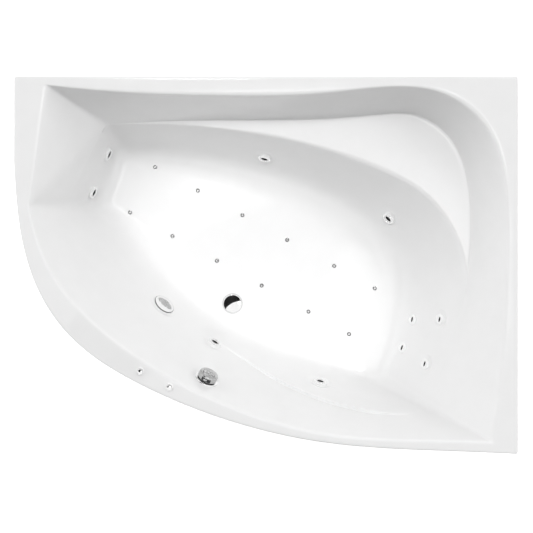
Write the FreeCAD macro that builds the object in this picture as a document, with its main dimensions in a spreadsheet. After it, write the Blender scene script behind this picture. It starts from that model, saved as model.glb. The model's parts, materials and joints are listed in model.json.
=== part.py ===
import FreeCAD, Part

import math
import os
import re

import Sketcher

from FreeCAD import Placement, Rotation, Vector

doc = FreeCAD.newDocument("jetted_bathtub")

# Driving dimensions, in millimetres and degrees
SIZES = {
    # tub shell
    "tub_length": 1600,
    "tub_width": 1200,
    "rim_height": 600,
    "basin_depth": 440,
    "ledge_depth": 215,
    "shell_wall": 6,
    "rim_skirt": 40,
    "rim_round": 8,
    "corner_round": 12,
    "floor_blend": 28,
    "blend_lift": 6,
    # clearances
    "seat_gap": 0.3,
    "run_gap": 0.08,
    "hole_gap": 0.5,
    # base board and frame
    "board_thickness": 18,
    "board_inset": 30,
    "board_hole_margin": 5,
    "bar_width": 30,
    "bar_height": 40,
    "bar_wall": 2.5,
    "rail_height": 30,
    "post_width": 25,
    "post_thickness": 8,
    "post_gap": 3,
    "pad_thickness": 4,
    "screw_radius": 3,
    "screw_head_radius": 6,
    "screw_head_height": 3,
    # levelling feet
    "foot_pad_radius": 30,
    "foot_pad_height": 12,
    "foot_stud_radius": 6,
    "foot_stud_end": 20,
    "foot_inset_back": 95,
    "foot_inset_front": 85,
    "nut_radius": 11,
    "nut_height": 9,
    # side water jets
    "jet_flange_radius": 25,
    "jet_flange_height": 2.5,
    "jet_barrel_radius": 22,
    "jet_barrel_length": 52,
    "jet_socket_radius": 19.5,
    "jet_socket_depth": 20,
    "jet_chamber_radius": 9,
    "jet_ring_radius": 23.5,
    "jet_ring_height": 3.7,
    "jet_sleeve_depth": 14,
    "jet_ball_radius": 15.2,
    "jet_ball_front": 9.5,
    "jet_ball_back": 10,
    "jet_bore_radius": 10.5,
    "jet_nut_radius": 30,
    "jet_nut_height": 9,
    # back jets
    "back_jet_flange_radius": 19,
    "back_jet_flange_height": 2.5,
    "back_jet_barrel_radius": 15,
    "back_jet_barrel_length": 42,
    "back_jet_socket_radius": 12,
    "back_jet_socket_depth": 18,
    "back_jet_face_radius": 17.5,
    "back_jet_face_height": 3,
    "back_jet_bore_radius": 7.5,
    "back_jet_nut_radius": 22,
    # air jets
    "air_jet_cap_radius": 8.5,
    "air_jet_cap_height": 2.6,
    "air_jet_pin_radius": 3.9,
    "air_jet_pin_length": 20,
    "air_jet_hole_radius": 1.6,
    "air_jet_tube_radius": 5.6,
    "air_jet_bore_radius": 4.2,
    "air_jet_collar_radius": 11,
    "air_jet_collar_height": 5,
    # air rails and blower
    "air_rail_drop": 80,
    "air_rail_radius": 9,
    "air_rail_bore": 7,
    "air_boss_height": 17,
    "air_boss_radius": 8,
    "air_feed_radius": 8,
    "air_feed_bore": 6.5,
    "air_bend": 25,
    "blower_radius": 62,
    "blower_height": 115,
    "blower_dome": 30,
    "blower_outlet_rise": 46,
    # drain and trap
    "drain_flange_radius": 35,
    "drain_flange_height": 2.5,
    "drain_throat_radius": 25,
    "drain_throat_bore": 22,
    "drain_throat_length": 30,
    "drain_rib_width": 4,
    "drain_rib_height": 5,
    "plug_radius": 33,
    "plug_height": 5,
    "plug_dome": 2.5,
    "plug_stem_radius": 4,
    "plug_stem_length": 52,
    "drain_body_radius": 32,
    "drain_body_flange": 36,
    "drain_body_length": 62,
    "drain_tail_radius": 20,
    "drain_tail_length": 20,
    "trap_radius": 50,
    "trap_height": 62,
    "trap_wall": 3,
    "outlet_radius": 20,
    "outlet_bore": 17,
    "outlet_length": 70,
    "outlet_collar_radius": 26,
    "outlet_collar_length": 8,
    # overflow
    "overflow_flange_radius": 39,
    "overflow_flange_height": 4,
    "overflow_hole_radius": 26,
    "overflow_mouth_radius": 21,
    "overflow_body_length": 46,
    "knob_radius": 27,
    "knob_height": 20,
    "knob_gap": 3,
    "knob_shaft_radius": 6,
    "knob_shaft_length": 30,
    "overflow_pipe_radius": 16,
    "overflow_pipe_bore": 14,
    "overflow_bend": 40,
    "cable_radius": 4,
    "cable_bend": 60,
    # suction
    "suction_flange_radius": 40,
    "suction_flange_height": 2,
    "suction_barrel_radius": 27,
    "suction_bore": 24,
    "suction_barrel_length": 56,
    "grille_radius": 38,
    "grille_edge": 3,
    "grille_height": 9,
    "grille_hole_radius": 2.6,
    "suction_pipe_radius": 25,
    "suction_pipe_bore": 22,
    "suction_bend": 40,
    # pump
    "motor_radius": 62,
    "motor_length": 140,
    "volute_radius": 74,
    "volute_length": 64,
    "volute_wall": 5,
    "impeller_radius": 52,
    "impeller_height": 22,
    "shaft_radius": 8,
    "inlet_length": 30,
    "discharge_radius": 22,
    "discharge_bore": 18,
    "discharge_length": 28,
    "fan_cover_length": 40,
    "fan_radius": 52,
    "pump_foot_height": 20,
    "pump_foot_width": 30,
    "tray_thickness": 3,
    "terminal_box_length": 84,
    "terminal_box_width": 64,
    "terminal_box_height": 42,
    "gland_radius": 9,
    "gland_bore": 4,
    "gland_length": 22,
    # water manifold
    "manifold_radius": 17,
    "manifold_bore": 14,
    "manifold_bend": 40,
    "manifold_offset": 95,
    "stub_radius": 13,
    "stub_bore": 10,
    # buttons
    "bezel_radius": 13,
    "bezel_height": 3.5,
    "bezel_sleeve_radius": 11,
    "bezel_sleeve_depth": 24,
    "button_radius": 9,
    "button_height": 6.5,
    "button_dome": 1.5,
    "button_depth": 14,
    "button_body_radius": 16,
    "button_body_depth": 46,
    "button_floor": 34,
    "barb_radius": 3,
    "barb_length": 12,
    "tube_radius": 3,
    "tube_bend": 60,
}

sheet = doc.addObject("Spreadsheet::Sheet", "sizes")
for row, (name, number) in enumerate(SIZES.items(), start=1):
    sheet.set(f"A{row}", name)
    sheet.set(f"B{row}", str(number))
    sheet.setAlias(f"B{row}", name)
doc.recompute()


def size(name):
    return float(sheet.get(name))


half_length = size("tub_length") / 2
half_width = size("tub_width") / 2
rim_z = size("rim_height")
floor_z = rim_z - size("basin_depth")
ledge_z = rim_z - size("ledge_depth")
wall = size("shell_wall")
board_top = floor_z - wall
bar_top = board_top - size("board_thickness")
bar_bottom = bar_top - size("bar_height")
air_rail_z = floor_z - size("air_rail_drop")
UP = Vector(0, 0, 1)

LOWER_WALL_HALVINGS = 5
EDGE_FIND = 0.01
CHIMNEY = 20
BEND_SHARE = 0.45
AIR_RAIL_OVERHANG = 4
GRILLE_SHOULDER = 0.8
GRILLE_CROWN = 0.45
GRILLE_HOLE_SHARES = [0.35, 0.55, 0.75]
GRILLE_SPOKES = 14
ROTOR_BLADES = 6
PUMP_FEET_SHARES = [0.2, 0.8]
BOARD_STRIDE = 2
BOARD_SCREWS = [(0, 0.28), (0, 0.45), (1, -0.33), (1, 0.25)]


# Curves of the shell, as shares of half the length and half the width
OUTLINE_FRONT = [(1.0, -1.0), (0.512, -0.972), (0.215, -0.936), (-0.141, -0.826), (-0.497, -0.633),
                 (-0.782, -0.371), (-0.904, -0.134), (-0.964, 0.104), (-0.99, 0.341), (-1.0, 0.552)]
RIM_BACK = [(-0.869, 0.951), (-0.576, 0.914), (-0.167, 0.895), (0.251, 0.911), (0.562, 0.942),
            (0.699, 0.909), (0.87, 0.734), (0.948, 0.439), (0.95, -0.081)]
RIM_RIGHT = [(0.95, -0.081), (0.94, -0.377), (0.924, -0.609), (0.894, -0.933)]
RIM_FRONT = [(0.894, -0.933), (0.562, -0.923), (0.255, -0.894), (-0.022, -0.805), (-0.319, -0.638),
             (-0.606, -0.395), (-0.814, -0.115), (-0.901, 0.109), (-0.939, 0.319)]
LEDGE_OUTER = [(-0.67, 0.78), (-0.42, 0.801), (-0.12, 0.809), (0.23, 0.816), (0.5, 0.843),
               (0.61, 0.843), (0.76, 0.72), (0.843, 0.45), (0.836, -0.113)]
LEDGE_INNER = [(-0.67, 0.78), (-0.534, 0.779), (-0.322, 0.773), (-0.1, 0.738), (0.16, 0.665),
               (0.45, 0.527), (0.665, 0.367), (0.788, 0.164), (0.836, -0.113)]
LEDGE_RIGHT = [(0.836, -0.113), (0.785, -0.4), (0.696, -0.807)]
FLOOR_BACK = [(-0.642, 0.678), (-0.52, 0.665), (-0.345, 0.643), (-0.143, 0.596), (0.06, 0.527),
              (0.28, 0.42), (0.44, 0.28), (0.545, 0.1), (0.59, -0.165)]
FLOOR_RIGHT = [(0.59, -0.165), (0.564, -0.417), (0.489, -0.675)]
FLOOR_FRONT = [(0.489, -0.675), (0.349, -0.64), (0.151, -0.564), (-0.069, -0.452), (-0.266, -0.3),
               (-0.442, -0.083), (-0.596, 0.145), (-0.684, 0.268), (-0.737, 0.336)]


def plan(shares):
    return [Vector(x * half_length, y * half_width, 0) for x, y in shares]


def between(first, second, share):
    return [a + (b - a) * share for a, b in zip(first, second)]


def at_height(points, z):
    return [Vector(p.x, p.y, z) for p in points]


def ring_normal(before, point, after):
    """Outward mitre of a corner or a curve point on a ring that runs clockwise."""
    first = (point - before).normalize()
    second = (after - point).normalize()
    out_first = Vector(-first.y, first.x, 0)
    out_second = Vector(-second.y, second.x, 0)
    return (out_first + out_second) * (1 / (1 + out_first.dot(out_second)))


def grown(sides, amount):
    """The sides of a closed ring moved outwards by an amount."""
    moved = []
    for number, side in enumerate(sides):
        last_of_previous = sides[number - 1][-2]
        first_of_next = sides[(number + 1) % len(sides)][1]
        points = [last_of_previous] + side + [first_of_next]
        moved.append([points[i] + ring_normal(*points[i - 1:i + 2]) * amount
                      for i in range(1, len(points) - 1)])
    return moved


def curve(points):
    """Smooth curve through plan points, which keeps its character when the tub's proportions change."""
    if len(points) == 2:
        return Part.makeLine(*points)
    shares = [Vector(4 * p.x / half_length, 3 * p.y / half_width, 0) for p in points]
    stations = [0.0]
    for first, second in zip(shares, shares[1:]):
        stations.append(stations[-1] + (second - first).Length)
    spline = Part.BSplineCurve()
    spline.interpolate(Points=points, Parameters=stations)
    return spline.toShape()


def basin_rings(grow):
    """Rings of the basin at the rim, the ledge and the floor, each as back, right, front and left."""
    share = size("ledge_depth") / size("basin_depth")
    rim = [plan(RIM_BACK), plan(RIM_RIGHT), plan(RIM_FRONT)]
    rim.append([rim[2][-1], rim[0][0]])
    floor = [plan(FLOOR_BACK), plan(FLOOR_RIGHT), plan(FLOOR_FRONT)]
    floor.append([floor[2][-1], floor[0][0]])
    ledge_front = between(rim[2], floor[2], share)
    ledge_right = plan(LEDGE_RIGHT)[:-1] + [ledge_front[0]]
    ledge_outer = plan(LEDGE_OUTER)
    ledge = [ledge_outer, ledge_right, ledge_front, [ledge_front[-1], ledge_outer[0]]]
    step_back = grown([plan(LEDGE_INNER)] + ledge[1:], grow)[0]
    ledge = grown(ledge, grow)
    step_back = [ledge[0][0]] + step_back[1:-1] + [ledge[0][-1]]
    step = [step_back] + ledge[1:]
    return grown(rim, grow), ledge, step, grown(floor, grow)


def ring_edges(ring, z):
    return [curve(at_height(side, z)) for side in ring]


def wall_share(height, rise):
    """Share of the way from the floor's edge to the ledge's, with a round blend into the floor."""
    blend = size("floor_blend")
    lift = size("blend_lift")
    above = height + lift
    whole = rise + lift
    return (above - blend ** 2 / above + blend ** 2 / whole) / whole


def lower_rings(step, floor, ledge_level, floor_level):
    rise = ledge_level - floor_level
    heights = [0] + [rise / 2 ** halving for halving in range(LOWER_WALL_HALVINGS, -1, -1)]
    rings = []
    for height in heights:
        share = wall_share(height, rise)
        ring = [between(low, high, share) for low, high in zip(floor, step)]
        rings.append(ring_edges(ring, floor_level + height))
    return rings


def basin(grow, rim_level, chimney):
    """Solid of the basin's inside, grown outwards by a wall, with a straight chimney over the rim."""
    rim, ledge, step, floor = basin_rings(grow)
    ledge_level = ledge_z - grow
    floor_level = floor_z - grow
    rim_edges = ring_edges(rim, rim_level)
    ledge_edges = ring_edges(ledge, ledge_level)
    faces = [Part.makeRuledSurface(rim_edges[side], ledge_edges[side]) for side in range(3)]

    back_corner = at_height(rim[3], rim_level)[1]
    front_corner = at_height(rim[3], rim_level)[0]
    front_low, back_low = at_height(ledge[3], ledge_level)
    for corners in ([back_corner, front_corner, back_low], [front_corner, front_low, back_low]):
        faces.append(Part.Face(Part.makePolygon(corners + corners[:1])))

    rings = lower_rings(step, floor, ledge_level, floor_level)
    faces.append(Part.Face(Part.Wire([ledge_edges[0], rings[-1][0]])))
    faces += Part.makeLoft([Part.Wire(edges) for edges in rings], False, False).Faces
    faces.append(Part.Face(Part.Wire(rings[0])))

    lift = Vector(0, 0, chimney)
    faces += [edge.extrude(lift) for edge in rim_edges]
    faces.append(Part.Face(Part.Wire([edge.translated(lift) for edge in rim_edges])))
    skin = Part.makeShell(faces)
    skin.sewShape()
    return Part.Solid(skin)


def outline_block(inset, bottom, top):
    """Upright block of the tub's outline, drawn in by an inset, with its square corners rounded."""
    corner = Vector(half_length, half_width, 0)
    front = plan(OUTLINE_FRONT)
    left = Vector(-half_length, half_width, 0)
    sides = grown([[left, corner], [corner, front[0]], front, [front[-1], left]], -inset)
    block = Part.Face(Part.Wire(ring_edges(sides, bottom))).extrude(UP * (top - bottom))
    upright = [edge for edge in block.Edges if edge.BoundBox.ZLength > (top - bottom) / 2]
    corners = [edge for edge in upright if abs(edge.BoundBox.YMin - sides[3][0].y) > EDGE_FIND]
    return block.makeFillet(size("corner_round") - inset, corners)


def rim_plate():
    """Flat rim with its turned-down edge, before the basin is joined to it."""
    low = rim_z - size("rim_skirt")
    block = outline_block(0, low, rim_z)
    top_edges = [edge for edge in block.Edges if edge.BoundBox.ZMin > rim_z - EDGE_FIND]
    return block.makeFillet(size("rim_round"), top_edges).cut(outline_block(wall, low, rim_z - wall))


# Places of the fittings, as shares of half the length and half the width
SIDE_JETS = [(-0.681, 0.638), (-0.748, 0.42), (-0.006, 0.618), (0.532, 0.273), (-0.222, -0.445),
             (0.23, -0.67)]
BACK_JETS = [(0.635, -0.314), (0.738, -0.307), (0.592, -0.478), (0.676, -0.56)]
SUCTION = (-0.438, -0.226)
DRAIN = (-0.148, -0.224)
OVERFLOW = (-0.242, -0.617)
BUTTONS = [(-0.499, -0.561), (-0.384, -0.646)]
AIR_ROWS = [((-0.487, 0.575), (0.477, -0.135)), ((-0.598, 0.309), (0.364, -0.403))]
AIR_STATIONS = [0, 0.194, 0.397, 0.601, 0.815, 1]
PUMP_FRONT = (-0.6625, -0.2333)
SUCTION_RUN = 0.68
PUMP_AXIS = Vector(0.646, -0.763, 0).normalize()
BLOWER = (0.68125, -0.8417)
RIGHT_BAR = 0.8
RAILS = {"back": 0.75, "front": -0.5}
CABLE_TURN = -60
BLOWER_GLAND_TURN = 210
TRAY_LEFT = -0.868
TRAY_FRONT = -0.192
TRAY_BACK = 0.067
MANIFOLD_BACK_CORNER = (-0.79, 0.84)
MANIFOLD_LEFT_CORNER = (-0.875, 0.25)
WATER_TUBE_TURN = (-0.7, -0.39)
AIR_TUBE_TURNS = [(-0.24, -0.585), (0.4, -0.88)]

nodes = {}
basin_inside = basin(0, rim_z, CHIMNEY)


def formula(text):
    """A sheet formula from plain size names."""
    return re.sub(r"[a-z]\w*", r"sizes.\g<0>", text)


def rod(name, radius, height, base="0"):
    item = doc.addObject("Part::Cylinder", name)
    item.setExpression("Radius", formula(radius))
    item.setExpression("Height", formula(height))
    item.setExpression("Placement.Base.z", formula(base))
    return item


def ball(name, radius, centre="0"):
    item = doc.addObject("Part::Sphere", name)
    item.setExpression("Radius", formula(radius))
    item.setExpression("Placement.Base.z", formula(centre))
    return item


def block(name, length, width, height, corner=("0", "0", "0")):
    item = doc.addObject("Part::Box", name)
    for side, text in zip(("Length", "Width", "Height"), (length, width, height)):
        item.setExpression(side, formula(text))
    for axis, text in zip("xyz", corner):
        item.setExpression(f"Placement.Base.{axis}", formula(text))
    return item


def cone(name, low_radius, high_radius, height, base="0"):
    item = doc.addObject("Part::Cone", name)
    item.setExpression("Radius1", formula(low_radius))
    item.setExpression("Radius2", formula(high_radius))
    item.setExpression("Height", formula(height))
    item.setExpression("Placement.Base.z", formula(base))
    return item


def cut(name, base, *tools):
    item = doc.addObject("Part::Cut", name)
    item.Base = base
    item.Tool = tools[0] if len(tools) == 1 else fuse(name + "_tools", *tools)
    return item


def fuse(name, *items):
    item = doc.addObject("Part::MultiFuse", name)
    item.Shapes = list(items)
    return item


def common(name, *items):
    item = doc.addObject("Part::MultiCommon", name)
    item.Shapes = list(items)
    return item


def node(label, item, placement=None):
    """Names a finished piece and puts it in its place."""
    item.Label = label
    if placement is not None:
        item.Placement = placement
    nodes[label] = item
    return item


def made(label, shape, placement=None):
    item = doc.addObject("Part::Feature", label)
    item.Shape = shape
    return node(label, item, placement)


def copies(label, pattern, frames):
    """A group of like solids, one in each frame."""
    doc.recompute()
    solids = []
    for frame in frames:
        solid = pattern.Shape.copy()
        solid.Placement = frame.multiply(solid.Placement)
        solids.append(solid)
    return made(label, Part.makeCompound(solids))


def spot(shares, z):
    return Vector(shares[0] * half_length, shares[1] * half_width, z)


def flat_frame(shares, z):
    return Placement(spot(shares, z), Rotation())


def wall_frame(shares):
    """Frame on the basin's wall: origin on the surface, Z into the basin, X level along the wall."""
    probe = Part.makeLine(spot(shares, floor_z - EDGE_FIND), spot(shares, rim_z))
    point = min((vertex.Point for vertex in basin_inside.common(probe).Vertexes), key=lambda p: p.z)
    face = min(basin_inside.Faces, key=lambda f: f.distToShape(Part.Vertex(point))[0])
    inward = face.normalAt(*face.Surface.parameter(point))
    if inward.z < 0:
        inward = -inward
    level = UP.cross(inward).normalize()
    return Placement(point, Rotation(level, inward.cross(level), inward, "ZXY"))


def along(frame, distance):
    return frame.multVec(Vector(0, 0, distance))


def inward_of(frame):
    return frame.Rotation.multVec(UP)


def route(points, bend):
    """Straight runs joined by tangent arcs."""
    edges = []
    start = points[0]
    for before, corner, after in zip(points, points[1:], points[2:]):
        into = (corner - before).normalize()
        out = (after - corner).normalize()
        half_turn = into.getAngle(out) / 2
        shorter = min((corner - before).Length, (after - corner).Length)
        radius = min(bend, BEND_SHARE * shorter / math.tan(half_turn))
        setback = radius * math.tan(half_turn)
        first = corner - into * setback
        last = corner + out * setback
        middle = corner + (out - into).normalize() * (radius / math.cos(half_turn) - radius)
        edges.append(Part.LineSegment(start, first).toShape())
        edges.append(Part.Arc(first, middle, last).toShape())
        start = last
    edges.append(Part.LineSegment(start, points[-1]).toShape())
    return Part.Wire(edges)


def pipe(points, radius, bend):
    circle = Part.Wire(Part.makeCircle(radius, points[0], points[1] - points[0]))
    return route(points, bend).makePipeShell([circle], True, False)


def straight(start, end, radius):
    return Part.makeCylinder(radius, (end - start).Length, start, end - start)


side_jet_frames = [wall_frame(shares) for shares in SIDE_JETS]
back_jet_frames = [wall_frame(shares) for shares in BACK_JETS]
suction_frame = wall_frame(SUCTION)
overflow_frame = wall_frame(OVERFLOW)
drain_frame = flat_frame(DRAIN, floor_z)
button_frames = [flat_frame(shares, rim_z) for shares in BUTTONS]
air_shares = []
for first, last in AIR_ROWS:
    for station in AIR_STATIONS:
        air_shares.append(tuple(a + (b - a) * station for a, b in zip(first, last)))
air_frames = [flat_frame(shares, floor_z) for shares in air_shares]


def seat_cuts(frame, bore, face, back):
    """Drill for a fitting through the shell, with flat seats for its flange and its back nut."""
    reach = 2 * wall
    spans = [(-reach, reach, bore), (0, reach, face), (-wall, -reach, back)]
    return [straight(along(frame, start), along(frame, end), size(radius) + size("hole_gap"))
            for start, end, radius in spans if radius]


def tub_shell():
    outside = basin(wall, rim_z - wall / 2, EDGE_FIND)
    shell = rim_plate().fuse(outside).cut(basin_inside)
    for frames, bore, face, back in (
            (side_jet_frames, "jet_barrel_radius", "jet_flange_radius", "jet_nut_radius"),
            (back_jet_frames, "back_jet_barrel_radius", "back_jet_flange_radius", "back_jet_nut_radius"),
            ([suction_frame], "suction_barrel_radius", "suction_flange_radius", "grille_radius"),
            ([overflow_frame], "overflow_hole_radius", "overflow_flange_radius", "jet_nut_radius"),
            (air_frames, "air_jet_tube_radius", "air_jet_cap_radius", None),
            ([drain_frame], "drain_throat_radius", None, None),
            (button_frames, "bezel_sleeve_radius", None, None)):
        for frame in frames:
            for tool in seat_cuts(frame, bore, face, back):
                shell = shell.cut(tool)
    return made("tub_shell", shell.Solids[0])


tub_shell()


# Side water jets: body, turning face ring and swivelling nozzle
def side_jets():
    flange = rod("jet_flange", "jet_flange_radius", "jet_flange_height")
    barrel = rod("jet_barrel", "jet_barrel_radius", "jet_barrel_length", "-jet_barrel_length")
    socket = rod("jet_socket", "jet_socket_radius", "jet_socket_depth + 2 * jet_flange_height",
                 "-jet_socket_depth")
    chamber = rod("jet_chamber", "jet_chamber_radius", "jet_barrel_length * 2", "-jet_barrel_length * 2")
    body = cut("jet_body", fuse("jet_body_blank", flange, barrel), socket, chamber)
    copies("side_jet_bodies", body, side_jet_frames)

    lip = rod("jet_lip", "jet_ring_radius", "jet_ring_height", "jet_flange_height + seat_gap")
    sleeve = rod("jet_sleeve", "jet_socket_radius - run_gap",
                 "jet_sleeve_depth + jet_flange_height + seat_gap + jet_ring_height / 2",
                 "-jet_sleeve_depth")
    seat = ball("jet_seat", "jet_ball_radius + seat_gap")
    back_opening = rod("jet_back_opening", "jet_ball_radius * 0.8", "jet_sleeve_depth * 2",
                       "-jet_sleeve_depth * 2")
    ring = cut("jet_ring", fuse("jet_ring_blank", lip, sleeve), seat, back_opening)

    sphere = ball("jet_sphere", "jet_ball_radius")
    slab = rod("jet_ball_slab", "jet_ball_radius * 2", "jet_ball_front + jet_ball_back",
               "-jet_ball_back")
    bore = rod("jet_bore", "jet_bore_radius", "jet_ball_radius * 4", "-jet_ball_radius * 2")
    nozzle = cut("jet_nozzle", common("jet_ball", sphere, slab), bore)
    doc.recompute()
    for number, frame in enumerate(side_jet_frames, start=1):
        made(f"jet_ring_{number}", ring.Shape.copy(), frame)
        made(f"jet_nozzle_{number}", nozzle.Shape.copy(), frame)


side_jets()


# Back jets: body and fixed face
def back_jets():
    flange = rod("back_jet_flange", "back_jet_flange_radius", "back_jet_flange_height")
    barrel = rod("back_jet_barrel", "back_jet_barrel_radius", "back_jet_barrel_length",
                 "-back_jet_barrel_length")
    socket = rod("back_jet_socket", "back_jet_socket_radius",
                 "back_jet_socket_depth + 2 * back_jet_flange_height", "-back_jet_socket_depth")
    chamber = rod("back_jet_chamber", "back_jet_bore_radius", "back_jet_barrel_length * 2",
                  "-back_jet_barrel_length * 2")
    body = cut("back_jet_body", fuse("back_jet_blank", flange, barrel), socket, chamber)
    copies("back_jet_bodies", body, back_jet_frames)

    dish = cone("back_jet_dish", "back_jet_face_radius", "back_jet_face_radius - back_jet_face_height",
                "back_jet_face_height", "back_jet_flange_height")
    plug = rod("back_jet_plug", "back_jet_socket_radius - run_gap",
               "back_jet_socket_depth + back_jet_flange_height",
               "-back_jet_socket_depth")
    bore = rod("back_jet_bore", "back_jet_bore_radius", "back_jet_barrel_length * 2",
               "-back_jet_barrel_length")
    face = cut("back_jet_face", fuse("back_jet_face_blank", dish, plug), bore)
    copies("back_jet_faces", face, back_jet_frames)


back_jets()


# Ring nuts that hold the fittings from behind the wall
def ring_nut(name, radius, bore):
    outside = rod(name + "_blank", radius, "jet_nut_height", "-shell_wall - seat_gap - jet_nut_height")
    inside = rod(name + "_bore", bore + " + seat_gap", "jet_nut_height * 4", "-jet_nut_height * 3")
    return cut(name, outside, inside)


def fitting_nuts():
    jet_nut = ring_nut("side_jet_nut", "jet_nut_radius", "jet_barrel_radius")
    back_nut = ring_nut("back_jet_nut", "back_jet_nut_radius", "back_jet_barrel_radius")
    suction_nut = ring_nut("suction_nut", "suction_barrel_radius + jet_nut_height", "suction_barrel_radius")
    doc.recompute()
    solids = []
    for pattern, frames in ((jet_nut, side_jet_frames), (back_nut, back_jet_frames),
                            (suction_nut, [suction_frame])):
        for frame in frames:
            solid = pattern.Shape.copy()
            solid.Placement = frame
            solids.append(solid)
    made("fitting_nuts", Part.makeCompound(solids))


fitting_nuts()


# Air jets in the floor
def air_jets():
    length = "(air_rail_drop - air_boss_height)"
    tube = rod("air_jet_tube", "air_jet_tube_radius", length, "-" + length)
    collar = rod("air_jet_collar", "air_jet_collar_radius", "air_jet_collar_height",
                 "-shell_wall - seat_gap - air_jet_collar_height")
    bore = rod("air_jet_bore", "air_jet_bore_radius", length + " * 2", "-" + length)
    body = cut("air_jet_body", fuse("air_jet_blank", tube, collar), bore)
    copies("air_jet_bodies", body, air_frames)

    head = cone("air_jet_head", "air_jet_cap_radius", "air_jet_cap_radius - air_jet_cap_height",
                "air_jet_cap_height")
    pin = rod("air_jet_pin", "air_jet_pin_radius", "air_jet_pin_length", "-air_jet_pin_length")
    vent = rod("air_jet_vent", "air_jet_hole_radius", "air_jet_pin_length * 3",
               "-air_jet_pin_length * 2")
    cap = cut("air_jet_cap", fuse("air_jet_cap_blank", head, pin), vent)
    copies("air_jet_caps", cap, air_frames)


air_jets()


# Air rails under the floor, fed by the blower
def row_points(first, last):
    low = spot(first, air_rail_z)
    high = spot(last, air_rail_z)
    run = (high - low).normalize() * (AIR_RAIL_OVERHANG * size("air_rail_radius"))
    return low - run, high + run


def air_rails():
    outer = size("air_rail_radius")
    inner = size("air_rail_bore")
    bend = size("air_bend")
    back_start, back_end = row_points(*AIR_ROWS[0])
    front_start, front_end = row_points(*AIR_ROWS[1])
    plug = (back_end - back_start).normalize() * (outer - inner)
    shape = pipe([back_start, back_end, front_end, front_start], outer, bend)
    bore = pipe([back_start + plug, back_end, front_end, front_start + plug], inner, bend)

    crossing_z = (bar_top + bar_bottom) / 2
    middle = (back_end + front_end) * 0.5
    outlet = blower_foot + Vector(-size("blower_radius") - size("seat_gap"), 0, size("blower_outlet_rise"))
    feed = [middle, Vector(middle.x, middle.y, crossing_z), Vector(middle.x, outlet.y, crossing_z),
            Vector(middle.x, outlet.y, outlet.z), outlet]
    shape = shape.fuse(pipe(feed, size("air_feed_radius"), bend))
    bores = [bore, pipe(feed, size("air_feed_bore"), bend)]
    for frame in air_frames:
        foot = Vector(frame.Base.x, frame.Base.y, air_rail_z)
        top = foot + UP * size("air_boss_height")
        shape = shape.fuse(straight(foot, top, size("air_boss_radius")))
        bores.append(straight(foot, top + UP, size("air_jet_bore_radius")))
    made("air_rails", shape.cut(bores))


def air_blower():
    case = rod("blower_case", "blower_radius", "blower_height")
    dome = cone("blower_dome_cone", "blower_radius", "blower_radius - blower_dome", "blower_dome",
                "blower_height")
    node("air_blower", fuse("blower", case, dome), Placement(blower_foot, Rotation()))


blower_foot = spot(BLOWER, bar_top + size("tray_thickness"))
air_rails()
air_blower()


# Drain: flange with its stem guide, pop-up plug, waste body and trap
def drain():
    plate = rod("drain_plate", "drain_flange_radius", "drain_flange_height")
    throat = rod("drain_throat", "drain_throat_radius", "drain_throat_length", "-drain_throat_length")
    bore = rod("drain_bore", "drain_throat_bore", "drain_throat_length * 3", "-drain_throat_length * 2")
    ring = cut("drain_ring", fuse("drain_blank", plate, throat), bore)
    rib_base = "-drain_throat_length + drain_rib_height"
    guide = rod("stem_guide", "plug_stem_radius * 2", "drain_rib_height * 2", rib_base)
    rib = block("guide_rib", "drain_throat_bore + drain_throat_radius", "drain_rib_width",
                "drain_rib_height",
                ("-(drain_throat_bore + drain_throat_radius) / 2", "-drain_rib_width / 2", rib_base))
    second_rib = block("guide_second_rib", "drain_rib_width", "drain_throat_bore + drain_throat_radius",
                       "drain_rib_height",
                       ("-drain_rib_width / 2", "-(drain_throat_bore + drain_throat_radius) / 2", rib_base))
    stem_bore = rod("stem_bore", "plug_stem_radius + run_gap", "drain_throat_length * 3",
                    "-drain_throat_length * 2")
    flange = cut("drain_fitting", fuse("drain_with_guide", ring, guide, rib, second_rib), stem_bore)
    node("drain_flange", flange, drain_frame)

    edge = rod("plug_edge", "plug_radius", "plug_height", "drain_flange_height + seat_gap")
    crown = cone("plug_crown", "plug_radius", "plug_radius - plug_dome * 4", "plug_dome",
                 "drain_flange_height + seat_gap + plug_height")
    stem = rod("plug_stem", "plug_stem_radius", "plug_stem_length + drain_flange_height + seat_gap",
               "-plug_stem_length")
    node("drain_plug", fuse("plug", edge, crown, stem), drain_frame)

    top = "-shell_wall - seat_gap"
    collar = rod("waste_collar", "drain_body_flange", "drain_rib_height", top + " - drain_rib_height")
    barrel = rod("waste_barrel", "drain_body_radius", "drain_body_length", top + " - drain_body_length")
    tail = rod("waste_tail", "drain_tail_radius", "drain_tail_length",
               top + " - drain_body_length - drain_tail_length")
    chamber = rod("waste_chamber", "drain_throat_radius + seat_gap", "drain_body_length",
                  top + " - drain_body_length + trap_wall")
    tail_bore = rod("waste_tail_bore", "outlet_bore", "drain_body_length * 2",
                    top + " - drain_body_length * 2")
    blank = cut("waste_body", fuse("waste_blank", collar, barrel, tail), chamber, tail_bore)
    doc.recompute()
    body = blank.Shape.copy()
    body.Placement = drain_frame
    entry = Vector(drain_frame.Base.x, drain_frame.Base.y, overflow_run_z())
    reach = entry + overflow_run() * (size("drain_body_radius") + size("overflow_pipe_radius"))
    body = body.fuse(straight(entry + overflow_run() * size("drain_throat_radius"), reach,
                              size("overflow_pipe_radius")))
    body = body.cut([straight(entry, reach, size("overflow_pipe_bore")), blank_chamber(drain_frame)])
    made("drain_body", body.cut(cable_socket()))


def blank_chamber(frame):
    depth = wall + size("seat_gap") + size("drain_body_length") - size("trap_wall")
    return straight(along(frame, -depth), along(frame, 0), size("drain_throat_radius") + size("seat_gap"))


def overflow_run_z():
    return (bar_top + bar_bottom) / 2


def overflow_drop():
    """Where the overflow pipe leaves the overflow body and goes straight down."""
    return along(overflow_frame, -size("overflow_body_length") + size("overflow_pipe_radius"))


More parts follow.
